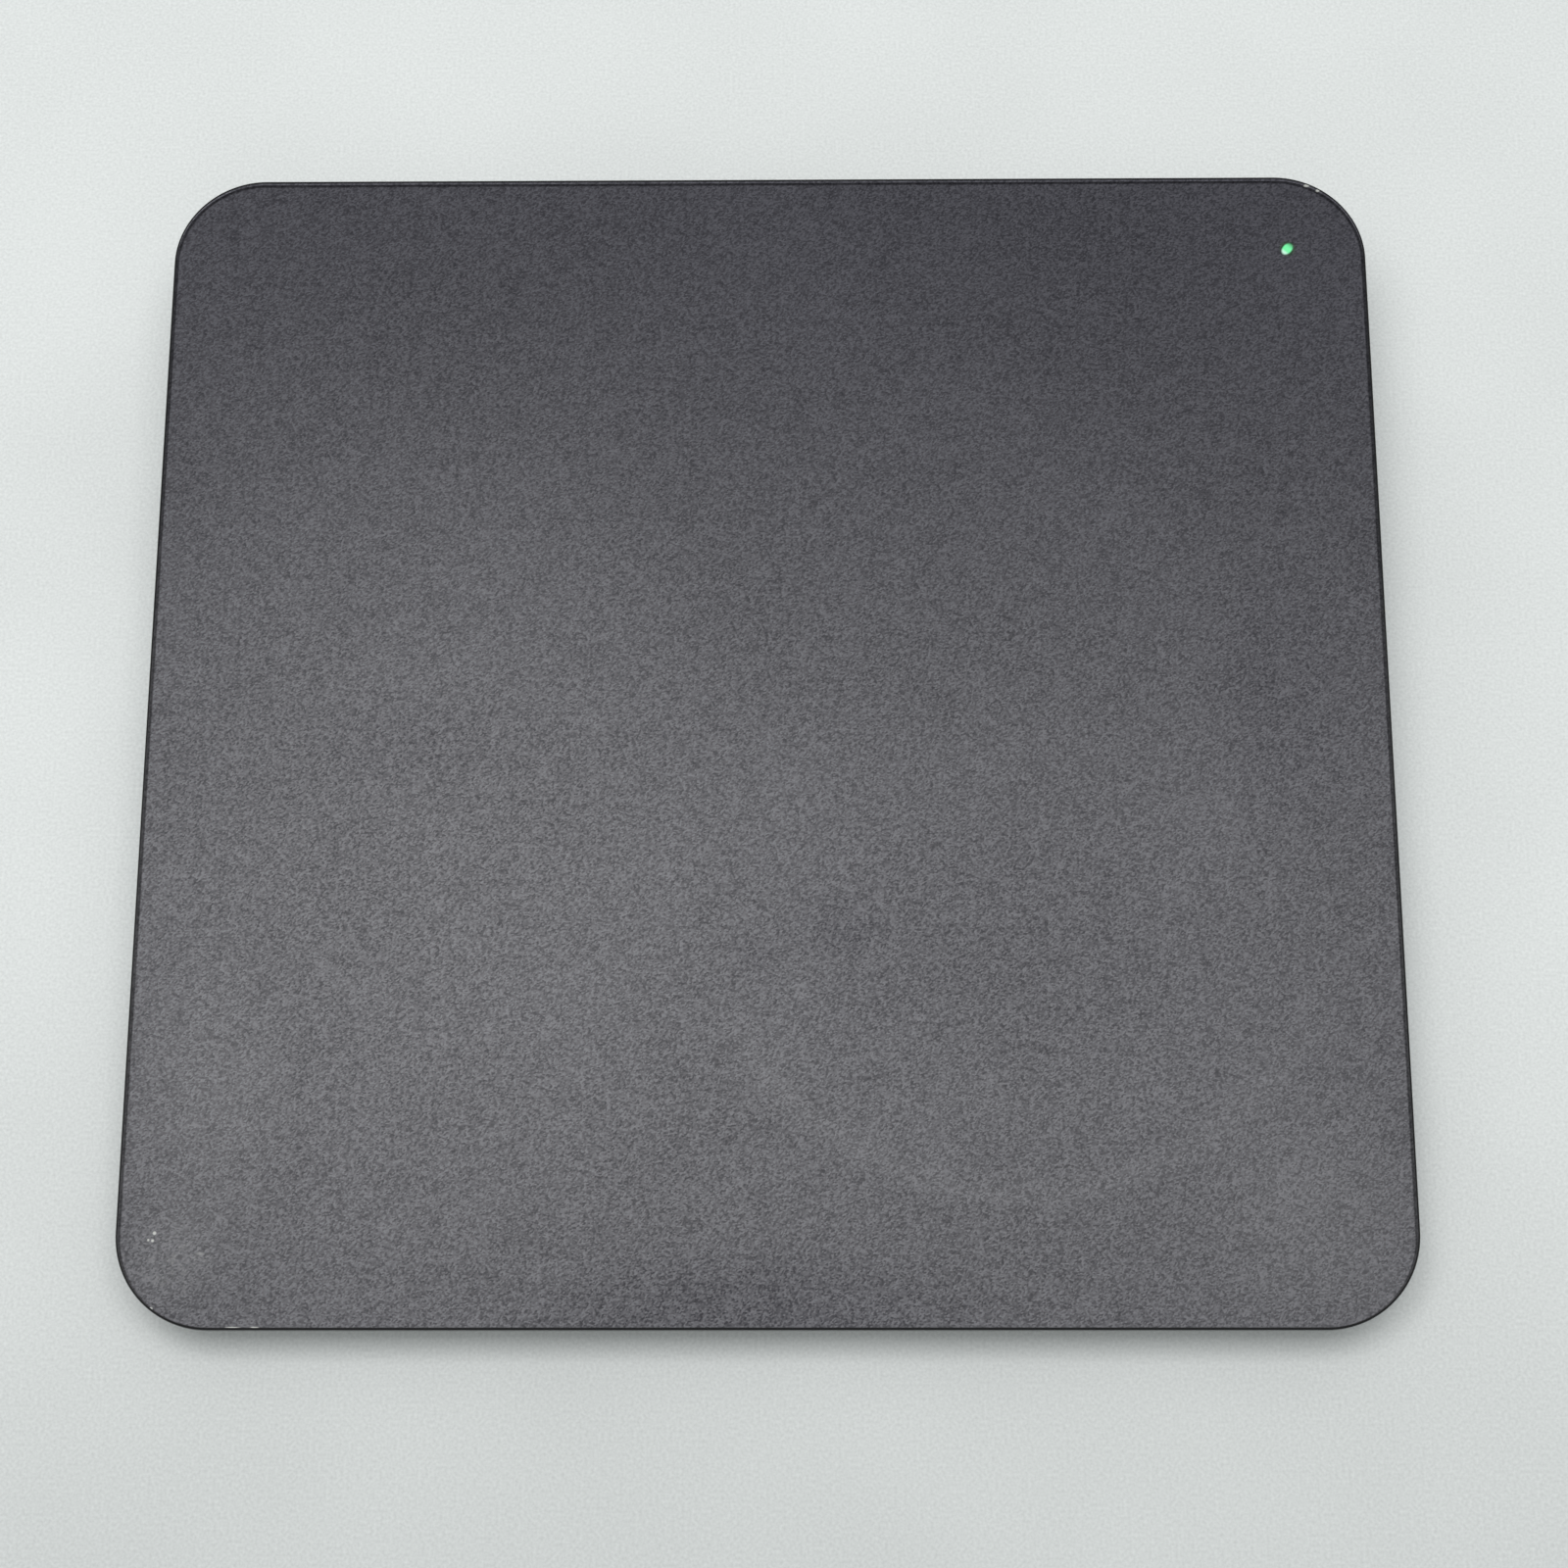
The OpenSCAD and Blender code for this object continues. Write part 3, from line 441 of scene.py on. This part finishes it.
def end_tree(geometry, material, second=None):
    """Sets the material and closes the tree; second is a selection and its own material."""
    real = geometry.add("GeometryNodeRealizeInstances", sockets={"Geometry": geometry})
    done = real.add("GeometryNodeSetMaterial", sockets={"Geometry": real, "Material": material})
    if second:
        sockets = {"Geometry": done, "Selection": second[0], "Material": second[1]}
        done = done.add("GeometryNodeSetMaterial", sockets=sockets)
    leave = done.tree.nodes.new("NodeGroupOutput")
    done.tree.links.new(done.socket, leave.inputs["Geometry"])


def vector(x, y, z):
    wire = next(part for part in (x, y, z) if isinstance(part, Wire))
    return wire.add("ShaderNodeCombineXYZ", sockets={0: x, 1: y, 2: z})


def moved(geometry, offset, turn=(0, 0, 0)):
    sockets = {"Geometry": geometry, "Translation": offset, "Rotation": turn}
    return geometry.add("GeometryNodeTransform", sockets=sockets)


def soft_block(size):
    """Block of this size with its edges eased."""
    cube = size.add("GeometryNodeMeshCube", sockets={"Size": size})
    sockets = {"Mesh": cube, "Level": 2, "Edge Crease": 0.82}
    return cube.add("GeometryNodeSubdivisionSurface", sockets=sockets)


def on_points(wires, instance):
    sockets = {"Points": wires["Geometry"], "Instance": instance, "Rotation": wires["Turn"]}
    return instance.add("GeometryNodeInstanceOnPoints", sockets=sockets)


def grow(name, tree, points, values, body, node):
    """Runs a geometry tree on these points and keeps what it gives as a plain piece."""
    seed = bpy.data.meshes.new(name)
    seed.from_pydata(points, [], [])
    piece = bpy.data.objects.new(name, seed)
    bpy.context.scene.collection.objects.link(piece)
    grown = piece.modifiers.new("grown", "NODES")
    grown.node_group = tree
    for item in tree.interface.items_tree:
        if item.in_out == "INPUT" and item.name in values:
            grown[item.identifier] = values[item.name]
    settle(piece)
    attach(piece, body)
    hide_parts(node)
    return piece


capacitor_tree, wires = new_tree(
    "chip_capacitor",
    {
        "Length": "Float",
        "Width": "Float",
        "Height": "Float",
        "Turn": "Rotation",
        "Material": "Material",
        "Tin": "Material",
    },
)
length, width, height = wires["Length"], wires["Width"], wires["Height"]
body = soft_block(vector(width * 0.93, length * 0.92, height * 0.93))
ends = [
    moved(soft_block(vector(width, length * 0.24, height)), vector(0.0, length * side, 0.0))
    for side in (-0.38, 0.38)
]
both = body.add("GeometryNodeJoinGeometry", sockets={"Geometry": ends})
tinned = both.add(
    "GeometryNodeStoreNamedAttribute",
    {"data_type": "BOOLEAN", "domain": "FACE"},
    {"Geometry": both, "Name": "tinned", "Value": True},
)
capacitor = body.add("GeometryNodeJoinGeometry", sockets={"Geometry": [body, tinned]})
chosen = body.add("GeometryNodeInputNamedAttribute", {"data_type": "BOOLEAN"}, {"Name": "tinned"})
end_tree(on_points(wires, capacitor), wires["Material"], (chosen, wires["Tin"]))

fired_ceramic = moulded_resin("fired_ceramic", (0.42, 0.30, 0.19), 0.5, 8)
solder_tin = plated_metal("solder_tin", (0.66, 0.65, 0.62), 0.36, (3, 3, 3))


def capacitors(node, turn):
    """Capacitors at the places of a node's solids, on a board turned about the X axis."""
    boxes = solid_places(node)
    low, high = boxes[0]
    height_by_length = 0.4
    values = {
        "Length": (high.y - low.y) / math.cos(turn),
        "Width": high.x - low.x,
        "Height": height_by_length * (high.y - low.y) / math.cos(turn),
        "Turn": Euler((turn, 0, 0)),
        "Material": fired_ceramic,
        "Tin": solder_tin,
    }
    middles = [(low + high) / 2 for low, high in boxes]
    grow(node + "_part", capacitor_tree, middles, values, "pad", node)


capacitors("main_passives", 0.0)


# Board screws
# Small pan-head machine screws with a cross recess and a rolled thread, nickel plated. They run
# down through the main board into its four standoffs.

screw_tree, wires = new_tree(
    "pan_screw",
    {
        "Head": "Float",
        "Head Height": "Float",
        "Thread": "Float",
        "Length": "Float",
        "Pitch": "Float",
        "Turn": "Rotation",
        "Material": "Material",
    },
)
head, tall, thread, length = (wires[name] for name in ("Head", "Head Height", "Thread", "Length"))
rim = head.add(
    "GeometryNodeMeshCylinder",
    sockets={"Vertices": 40, "Radius": head * 0.5, "Depth": tall * 0.6},
)
dome = head.add(
    "GeometryNodeMeshCone",
    sockets={
        "Vertices": 40,
        "Radius Top": head * 0.37,
        "Radius Bottom": head * 0.5,
        "Depth": tall * 0.42,
    },
)
shank = head.add(
    "GeometryNodeMeshCylinder",
    sockets={"Vertices": 24, "Radius": thread * 0.43, "Depth": length * 0.92 + tall * 0.2},
)
tip = head.add(
    "GeometryNodeMeshCone",
    sockets={
        "Vertices": 24,
        "Radius Top": thread * 0.28,
        "Radius Bottom": thread * 0.43,
        "Depth": length * 0.08,
    },
)
whole = head.add(
    "GeometryNodeMeshBoolean",
    {"operation": "UNION", "solver": "MANIFOLD"},
    {
        "Mesh 2": [
            moved(rim, vector(0.0, 0.0, tall * -0.3)),
            moved(dome, vector(0.0, 0.0, tall * -0.58), (math.pi, 0, 0)),
            moved(shank, vector(0.0, 0.0, length * 0.46 - tall * 0.1)),
            moved(tip, vector(0.0, 0.0, length * 0.9199)),
        ]
    },
)
wing_size = vector(head * 0.56, head * 0.13, tall * 1.1)
wing = head.add("GeometryNodeMeshCube", sockets={"Size": wing_size})
recess = head.add(
    "GeometryNodeMeshBoolean",
    {"operation": "UNION", "solver": "MANIFOLD"},
    {"Mesh 2": [moved(wing, (0, 0, 0)), moved(wing, (0, 0, 0), (0, 0, math.pi / 2))]},
)
cut = head.add(
    "GeometryNodeMeshBoolean",
    {"operation": "DIFFERENCE", "solver": "MANIFOLD"},
    {"Mesh 1": whole, "Mesh 2": moved(recess, vector(0.0, 0.0, tall * -1.0))},
)
helix = head.add(
    "GeometryNodeCurveSpiral",
    sockets={
        "Resolution": 20,
        "Rotations": length * 0.86 / wires["Pitch"],
        "Start Radius": thread * 0.43,
        "End Radius": thread * 0.43,
        "Height": length * 0.86,
    },
)
crest = head.add(
    "GeometryNodeCurvePrimitiveCircle", sockets={"Resolution": 4, "Radius": thread * 0.07}
)
rolled = head.add(
    "GeometryNodeCurveToMesh",
    sockets={"Curve": helix, "Profile Curve": crest, "Fill Caps": True},
)
rolled = moved(rolled, vector(0.0, 0.0, length * 0.04))
screw = head.add("GeometryNodeJoinGeometry", sockets={"Geometry": [cut, rolled]})
end_tree(on_points(wires, screw), wires["Material"])


def screws(node, head_height, thread, pitch, down, finish):
    """Screws at the places of a node's solids; sizes in millimetres."""
    boxes = solid_places(node)
    size = boxes[0][1] - boxes[0][0]
    seats = []
    for low, high in boxes:
        seat = high.z - head_height * MM if down else low.z + head_height * MM
        seats.append(((low.x + high.x) / 2, (low.y + high.y) / 2, seat))
    values = {
        "Head": size.x,
        "Head Height": head_height * MM,
        "Thread": thread * MM,
        "Length": size.z - head_height * MM,
        "Pitch": pitch * MM,
        "Turn": Euler((math.pi if down else 0, 0, 0.4)),
        "Material": finish,
    }
    piece = grow(node + "_part", screw_tree, seats, values, "pad", node)
    piece.data.shade_smooth()
    piece.data.set_sharp_from_angle(angle=math.radians(35))


screws("board_screws", 0.8, 1.6, 0.35, True, nickel)


# Charging socket
# A folded nickel-plated shell on the rear tab of the board, with a black tongue inside that carries
# five gold-plated contacts. Its mouth stands in a pocket of the rear wall.

socket_black = moulded_resin("socket_black", (0.02, 0.02, 0.02), 0.45, 8)
dress("usb_shell", "pad", nickel, 0.06, 2)
dress("usb_tongue", "pad", socket_black, 0.05)

strip_tree, wires = new_tree(
    "contact_strip",
    {
        "Length": "Float",
        "Width": "Float",
        "Height": "Float",
        "Turn": "Rotation",
        "Material": "Material",
    },
)
strip = soft_block(vector(wires["Width"], wires["Length"], wires["Height"]))
end_tree(on_points(wires, strip), wires["Material"])

contact_gold = plated_metal("contact_gold", (0.83, 0.62, 0.24), 0.26, (6, 0.5, 6))
strips = solid_places("usb_contacts")
low, high = strips[0]
grow(
    "usb_contacts_part",
    strip_tree,
    [(low + high) / 2 for low, high in strips],
    {
        "Width": high.x - low.x,
        "Length": high.y - low.y,
        "Height": high.z - low.z,
        "Turn": Euler((0, 0, 0)),
        "Material": contact_gold,
    },
    "pad",
    "usb_contacts",
)


# Power switch
# A slide switch soldered to the arm of the main board. Its pale actuator fits a black knob that
# runs in a slot of the right-hand wall, kept in by the plate behind it and ribbed for the thumb.

knob_black = moulded_resin("knob_black", (0.022, 0.022, 0.023), 0.4, 7)
switch_resin = moulded_resin("switch_resin", (0.05, 0.05, 0.05), 0.5, 6)
dress("slide_switch_case", "pad", switch_resin, 0.08)
dress("switch_actuator", "power_slider", stem_resin, 0.1)
dress("power_knob", "power_slider", knob_black, 0.09, 3)


# Ribbon
# A flat polyester cable, folded once between the two boards and gripped by a socket on each.
# Its copper runs show through the film as fine stripes.

FILM = (0.80, 0.74, 0.58, 1.0)
ribbon_film, shader, place = new_finish("ribbon_film", {"IOR": 1.55})
run = place.math("PINGPONG", place.axis("X"), 0.5).step(0.2, 0.3)
haze = place.noise(0.8, 3)
drive(
    shader,
    {
        "Base Color": run.mix(haze.mix(tint(FILM, 0.95), tint(FILM, 1.08)), (0.42, 0.36, 0.26, 1)),
        "Roughness": haze * 0.15 + 0.3,
        "Normal": (run + haze * 0.3).bump(0.25, 0.02),
    },
)
dress("sensor_ribbon", "pad", ribbon_film)


# Sensor board
# The touch electrodes are etched into a thin board that covers the underside of the glass. Below it
# sit the touch chip, its capacitors, the ribbon socket, four click switches and the status light.

FRONT_HEIGHT, REAR_HEIGHT = 6.2, 13.8
PLATE_DEPTH, PLATE_THICKNESS = 129, 1.3
tilt = math.asin((REAR_HEIGHT - FRONT_HEIGHT) / PLATE_DEPTH)
# The middle of the plate's top, with the deck's slope
DECK = Matrix.Translation(
    (0, -PLATE_THICKNESS / 2 * math.sin(tilt) * MM, (REAR_HEIGHT + FRONT_HEIGHT) / 2 * MM)
) @ Matrix.Rotation(tilt, 4, "X")

lamp_white = moulded_resin("lamp_white", (0.80, 0.80, 0.72), 0.4, 8)
dress("sensor_board", "pad", solder_mask)
dress("touch_controller", "pad", chip_resin("touch_controller"), 0.06)
capacitors("sensor_passives", tilt)
dress("sensor_socket", "pad", ivory_resin, 0.06)
dress("click_switches", "pad", switch_resin, 0.06)
dress("status_led", "pad", lamp_white, 0.06)

guide_resin, shader, place = new_finish("guide_resin", {"IOR": 1.49, "Transmission Weight": 0.6})
swirl = place.noise(2, 3)
drive(
    shader,
    {
        "Base Color": swirl.mix((0.62, 0.86, 0.66, 1), (0.76, 0.94, 0.78, 1)),
        "Roughness": swirl * 0.2 + 0.12,
    },
)
dress("light_guide", "pad", guide_resin, 0.05)


# Frame
# A black moulded ring under the edge of the glass. Its tongue drops inside the base, three hooks
# catch the front wall and four posts take the case screws. Foam tape bonds the glass to it.

frame_resin = moulded_resin("frame_resin", (0.02, 0.02, 0.021), 0.5, 6)
dress("top_frame", "pad", frame_resin, 0.06)
foam_tape = moulded_resin("foam_tape", (0.016, 0.016, 0.016), 0.8, 3)
dress("frame_tape", "pad", foam_tape)

clear_bond, shader, place = new_finish("clear_bond", {"IOR": 1.47, "Transmission Weight": 0.7})
bubble = place.noise(0.3, 4)
drive(
    shader,
    {
        "Base Color": bubble.mix((0.72, 0.74, 0.74, 1), (0.82, 0.83, 0.82, 1)),
        "Roughness": bubble * 0.25 + 0.1,
    },
)
dress("bond_film", "pad", clear_bond)


# Touch glass
# A plate of toughened glass, printed dark grey on its back and etched matt on top, with the rim
# ground round and polished. Tape and a clear film hold it, and one clear dot in the print lets the
# light through.

PLATE_WIDTH, PLATE_CORNER = 134, 10
PLATE_RIM, PLATE_BEVEL = 0.25, 0.15
plate_tree, wires = new_tree(
    "touch_plate",
    {
        "Width": "Float",
        "Depth": "Float",
        "Corner": "Float",
        "Thickness": "Float",
        "Rim": "Float",
        "Bevel": "Float",
        "Turn": "Rotation",
        "Material": "Material",
        "Ground": "Material",
    },
)
thick, rim, bevel = wires["Thickness"], wires["Rim"], wires["Bevel"]


def plate_outline(inset):
    sockets = {"Width": wires["Width"] - inset * 2.0, "Height": wires["Depth"] - inset * 2.0}
    square = rim.add("GeometryNodeCurvePrimitiveQuadrilateral", {"mode": "RECTANGLE"}, sockets)
    sockets = {"Curve": square, "Radius": wires["Corner"] - inset, "Count": 32}
    return rim.add("GeometryNodeFilletCurve", {"mode": "POLY"}, sockets)


def filled(outline):
    return rim.add("GeometryNodeFillCurve", {"mode": "NGONS"}, {"Curve": outline})


edge = plate_outline(rim * 0.0)
quarter = rim.add(
    "GeometryNodeCurveArc",
    sockets={"Resolution": 11, "Radius": rim, "Start Angle": 0.0, "Sweep Angle": -math.pi / 2},
)
wall = rim.add(
    "GeometryNodeCurvePrimitiveLine",
    sockets={"Start": vector(0.0, rim, 0.0), "End": vector(0.0, thick - bevel, 0.0)},
)
chamfer = rim.add(
    "GeometryNodeCurvePrimitiveLine",
    sockets={"Start": vector(0.0, thick - bevel, 0.0), "End": vector(bevel * -1.0, thick, 0.0)},
)
profile = rim.add(
    "GeometryNodeJoinGeometry",
    sockets={"Geometry": [moved(quarter, vector(rim * -1.0, rim, 0.0)), wall, chamfer]},
)
swept = rim.add("GeometryNodeCurveToMesh", sockets={"Curve": edge, "Profile Curve": profile})
underside = moved(filled(plate_outline(bevel)), vector(0.0, 0.0, thick * -1.0))
plate = rim.add(
    "GeometryNodeJoinGeometry", sockets={"Geometry": [swept, filled(plate_outline(rim)), underside]}
)
welded = rim.add("GeometryNodeMergeByDistance", sockets={"Geometry": plate, "Distance": 0.02 * MM})
level = rim.add("GeometryNodeInputPosition").axis("Z")
marked = rim.add(
    "GeometryNodeStoreNamedAttribute",
    {"data_type": "BOOLEAN", "domain": "FACE"},
    {"Geometry": welded, "Name": "ground", "Value": rim.math("LESS_THAN", level, -0.001 * MM)},
)
ground = rim.add("GeometryNodeInputNamedAttribute", {"data_type": "BOOLEAN"}, {"Name": "ground"})
end_tree(on_points(wires, marked), wires["Material"], (ground, wires["Ground"]))


def on_plate(place):
    """Place on the plate in millimetres: right, to the rear, and up from its top."""
    sockets = {"Vector": place, "Location": DECK.translation / MM, "Rotation": (tilt, 0, 0)}
    return place.add("ShaderNodeMapping", {"vector_type": "TEXTURE"}, sockets)


def vector_math(first, operation, second):
    """Vector that an operation makes of two vectors, axis by axis."""
    return first.add("ShaderNodeVectorMath", {"operation": operation}, {0: first, 1: second})


def reach(arrow):
    """Length of a vector."""
    return arrow.add("ShaderNodeVectorMath", {"operation": "LENGTH"}, {0: arrow}, "Value")


def spot(spread, x, y, inner, outer, stretch=(1, 1)):
    """1 within inner of a place and 0 beyond outer, in millimetres, drawn out by stretch."""
    from_it = vector_math(spread, "SUBTRACT", (x, y, 0))
    drawn = vector_math(from_it, "MULTIPLY", (1 / stretch[0], 1 / stretch[1], 0))
    return 1 - reach(drawn).step(inner, outer)


def past_print(spread, inset, forward):
    """Millimetres outside the print, whose edge lies inset and a little forward on the plate."""
    core = (PLATE_WIDTH / 2 - PLATE_CORNER, PLATE_DEPTH / 2 - PLATE_CORNER, 0)
    middle = vector_math(spread, "ADD", (0, forward, 0))
    folded = vector_math(middle, "ABSOLUTE", (0, 0, 0))
    beyond = vector_math(folded, "SUBTRACT", core)
    corner = vector_math(beyond, "MAXIMUM", (0, 0, 0))
    flat = vector_math(corner, "MULTIPLY", (1, 1, 0))
    return reach(flat) - (PLATE_CORNER - inset)


PRINT = (0.0214, 0.0200, 0.0302, 1.0)
CHIPPED = (0.42, 0.42, 0.40, 1.0)
etched_glass, shader, place = new_finish(
    "etched_glass",
    {"Specular IOR Level": 0.0, "Coat Roughness": 0.33, "Coat IOR": 1.7, "Emission Strength": 1.0},
)
spread = on_plate(place)
slanted = spread.add(
    "ShaderNodeMapping",
    {"vector_type": "TEXTURE"},
    {"Vector": spread, "Rotation": (0, 0, 0.4), "Scale": (1.15, 0.9, 1)},
)
mottle = slanted.noise(2.5, 1, 0.5)
speck = slanted.add(
    "ShaderNodeTexVoronoi",
    {"voronoi_dimensions": "2D", "feature": "SMOOTH_F1"},
    {"Vector": slanted, "Scale": 5.8, "Smoothness": 0.5},
    "Color",
).axis("X")
cloud = spread.noise(0.03, 3)
grain = (speck - 0.5) * 0.96 + (spread.noise(0.4, 2) - 0.5) * 0.22
# Nicks that show the white of the glass: across, along, whole within, gone beyond, drawn out by
NICKS = (
    (-62.93, -54.62, 0.08, 0.26, (1, 1)),
    (-63.08, -55.4, 0.05, 0.22, (1, 1)),
    (-63.53, -55.33, 0.03, 0.18, (1, 1)),
    (60.77, 63.36, 0.1, 0.3, (1.5, 0.8)),
    (62.0, 62.74, 0.08, 0.26, (1.2, 0.9)),
    (-62.84, -62.3, 0.06, 0.22, (1, 1)),
    (-54.42, -64.21, 0.02, 0.1, (10, 1)),
    (-52.16, -64.21, 0.02, 0.1, (6, 1)),
)
nicks = sum(spot(spread, *nick) for nick in NICKS)
haze = spot(spread, -60.5, -58.0, 0.5, 5.0) * spread.noise(0.9, 4, 0.6).step(0.5, 0.68)
smear = spot(spread, -58.11, -56.71, 0.05, 0.3, (2, 0.8))
marks = place.math("MINIMUM", nicks + haze * 0.1 + smear * 0.25, 1.0)
# Smudges of handling mixed with painted sheen and painted shade: across, along, whole within, gone
# beyond, drawn out by, and sheen gained
SMUDGES_AND_PAINTED_SHEEN = (
    (57, -54, 3, 17, (1, 1), 0.19),
    (-58, -42, 2, 14, (0.8, 1.5), 0.15),
    (-61, -57, 1, 7, (1, 1), 0.2),
    (-1, -64, 3, 15, (2, 0.7), -0.22),
    (7.9, -22.4, 0.5, 5, (1.3, 1), -0.13),
    (-1.7, -25.7, 0.3, 3.5, (1, 1), -0.11),
    (24, -23, 4, 26, (1.5, 0.8), -0.09),
    (55, 2, 3, 17, (0.7, 1.2), -0.13),
    (-39, -2, 1, 9, (1.3, 0.8), -0.1),
)
smudge_and_painted_sheen = sum(spot(spread, *mark) * gain for *mark, gain in SMUDGES_AND_PAINTED_SHEEN)
# One wipe of a cloth has left a faint arc in the front half
WIPE, WIPE_RADIUS = (26.6, -16.4), 34.2
wipe = spot(spread, *WIPE, WIPE_RADIUS, 36.7) - spot(spread, *WIPE, 31.2, WIPE_RADIUS)
smudge_and_painted_sheen = smudge_and_painted_sheen + wipe * (1 - spread.axis("Y").step(-40, -28)) * 0.12
past = past_print(spread, 0.53, 0.27)
# Painted highlight: a pale band just past the print, seen mostly along the rear, stands for the
# rim's reflection of the floor. The rest of the margin is the clear, unprinted edge.
painted_glint = past.step(0.26, 0.34) * (1 - past.step(0.42, 0.5))
clear_margin_and_painted_glint = past.step(-0.1, 0.06) * 0.65 - painted_glint * 1.1
shade = (1 - clear_margin_and_painted_glint) * (1 + grain * 0.8 + (cloud - 0.5) * 0.3)
print_and_painted_glint = (shade * 0.5).mix((0, 0, 0, 1), tint(PRINT, 2.0))
# The clear dot, an oval that lies aslant with its paler end to the front left, in a dim green ring
DOT, DOT_SIZE, DOT_HEADING = (58.26, 55.57, 0), (0.86, 0.56), 0.87
ring = spot(spread, 58.29, 55.6, 0.62, 1.1)
beam = spread.add(
    "ShaderNodeMapping",
    {"vector_type": "TEXTURE"},
    {"Vector": spread, "Location": DOT, "Rotation": (0, 0, DOT_HEADING)},
)
along = beam.axis("X")
lit = spot(beam, 0, 0, 0.68, 1.1, DOT_SIZE) * (1 - along.step(0.1, 0.95) * 0.9)
glow = along.step(-0.62, -0.2).mix((0.62, 0.97, 0.80, 1), (0.17, 0.93, 0.38, 1))
# The colour and the coat below carry the painted rim highlight and the painted sheen and shade
# patches.
drive(
    shader,
    {
        "Base Color": marks.mix(ring.mix(print_and_painted_glint, (0.003, 0.022, 0.006, 1)), CHIPPED),
        "Roughness": mottle * 0.2 + 0.4,
        "Coat Weight": (1 - clear_margin_and_painted_glint) * (1 + grain + (cloud - 0.5) * 0.28 + smudge_and_painted_sheen) * 0.605,
        "Emission Color": lit.mix((0, 0, 0, 1), glow),
        "Normal": mottle.bump(0.1, 0.01),
    },
)

polished_rim, shader, place = new_finish("polished_rim", {"IOR": 1.5, "Specular IOR Level": 0.3})
tooth = place.noise(4.5, 2)
drive(
    shader,
    {
        "Base Color": tooth.step(0.72, 0.8).mix((0.004, 0.004, 0.0045, 1), (0.05, 0.05, 0.05, 1)),
        "Roughness": tooth * 0.05 + 0.06,
        "Normal": tooth.bump(0.1, 0.005),
    },
)
touch_plate = grow(
    "touch_glass_part",
    plate_tree,
    [DECK.translation],
    {
        "Width": PLATE_WIDTH * MM,
        "Depth": PLATE_DEPTH * MM,
        "Corner": PLATE_CORNER * MM,
        "Thickness": PLATE_THICKNESS * MM,
        "Rim": PLATE_RIM * MM,
        "Bevel": PLATE_BEVEL * MM,
        "Turn": Euler((tilt, 0, 0)),
        "Material": etched_glass,
        "Ground": polished_rim,
    },
    "pad",
    "touch_glass",
)
plate = bmesh.new()
plate.from_mesh(touch_plate.data)
bmesh.ops.recalc_face_normals(plate, faces=plate.faces[:])
plate.to_mesh(touch_plate.data)
plate.free()
touch_plate.data.shade_smooth()
touch_plate.data.set_sharp_from_angle(angle=math.radians(40))
even_out(touch_plate)


# Case screws
# Four longer pan-head screws in zinc-plated steel. They go up through counterbores in the underside
# of the base into the posts of the frame.

zinc = plated_metal("zinc_plate", (0.40, 0.40, 0.41), 0.38, (3, 3, 0.5))
screws("case_screws", 1.2, 2.0, 0.4, False, zinc)


# Studio
# A pale sheet to stand on, a wide soft lamp over the pad with a small one behind it,
# and a camera above and in front.

FLOOR = (0.686, 0.701, 0.696, 1.0)
FLOOR_HALF = 4.0
floor_paper_with_painted_shade, shader, place = new_finish(
    "floor_paper_with_painted_shade", {"Roughness": 0.9, "Specular IOR Level": 0.2}
)
fibre = (place.noise(3.0, 1) - 0.5) * 0.32 + (place.noise(0.03, 2) - 0.5) * 0.13
# Painted shade: the sheet is made a little darker towards the front, where the light falls off, in
# millimetres along
paper_and_painted_shade = (1 + fibre) * (place.axis("Y").step(-110, -10) * 0.18 + 0.86)
twice = tuple(2 * part for part in FLOOR[:3]) + (1,)
drive(shader, {"Base Color": (paper_and_painted_shade * 0.5).mix((0, 0, 0, 1), twice)})
sheet = bpy.data.meshes.new("floor_sheet")
signs = ((-1, -1), (1, -1), (1, 1), (-1, 1))
sheet.from_pydata([(x * FLOOR_HALF, y * FLOOR_HALF, 0) for x, y in signs], [], [(0, 1, 2, 3)])
sheet.materials.append(floor_paper_with_painted_shade)
floor = bpy.data.objects.new("floor_sheet", sheet)
bpy.context.scene.collection.objects.link(floor)
floor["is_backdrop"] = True

# Place, width and depth in metres, and how bright each lamp's face is
for name, place, wide, deep, radiance in (
    ("overhead_lamp", (-0.03, 0.034, 0.567), 0.54, 0.272, 3.6),
    ("rear_lamp", (-0.126, 0.129, 0.60), 0.114, 0.194, 2.93),
):
    lamp = bpy.data.lights.new(name, "AREA")
    lamp.shape = "RECTANGLE"
    lamp.size, lamp.size_y = wide, deep
    lamp.energy = radiance * math.pi * wide * deep
    hung = bpy.data.objects.new(name, lamp)
    hung.location = place
    bpy.context.scene.collection.objects.link(hung)

world = bpy.data.worlds.new("studio")
world.use_nodes = True
sky = world.node_tree.nodes["Background"]
sky.inputs["Color"].default_value = (0.96, 1.0, 0.99, 1)
sky.inputs["Strength"].default_value = 0.6
bpy.context.scene.world = world
bpy.context.scene.view_settings.view_transform = "Standard"

# The deck as the camera sees it: its turn, and its place in millimetres
VIEW_TURN = (-0.27542, -0.0112, 0.00228)
VIEW_PLACE = (-1.77063, 6.51143, -324.37447)
FOCAL_PIXELS, FRAME_PIXELS = 3077.93, 1600
view = Euler(VIEW_TURN).to_matrix().to_4x4()
view.translation = Vector(VIEW_PLACE) * MM
lens = bpy.data.cameras.new("camera")
lens.sensor_width = 36
lens.lens = 36 * FOCAL_PIXELS / FRAME_PIXELS
lens.clip_start = 0.01
camera = bpy.data.objects.new("camera", lens)
camera.matrix_world = DECK @ view.inverted()
bpy.context.scene.collection.objects.link(camera)
bpy.context.scene.camera = camera

low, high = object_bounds()
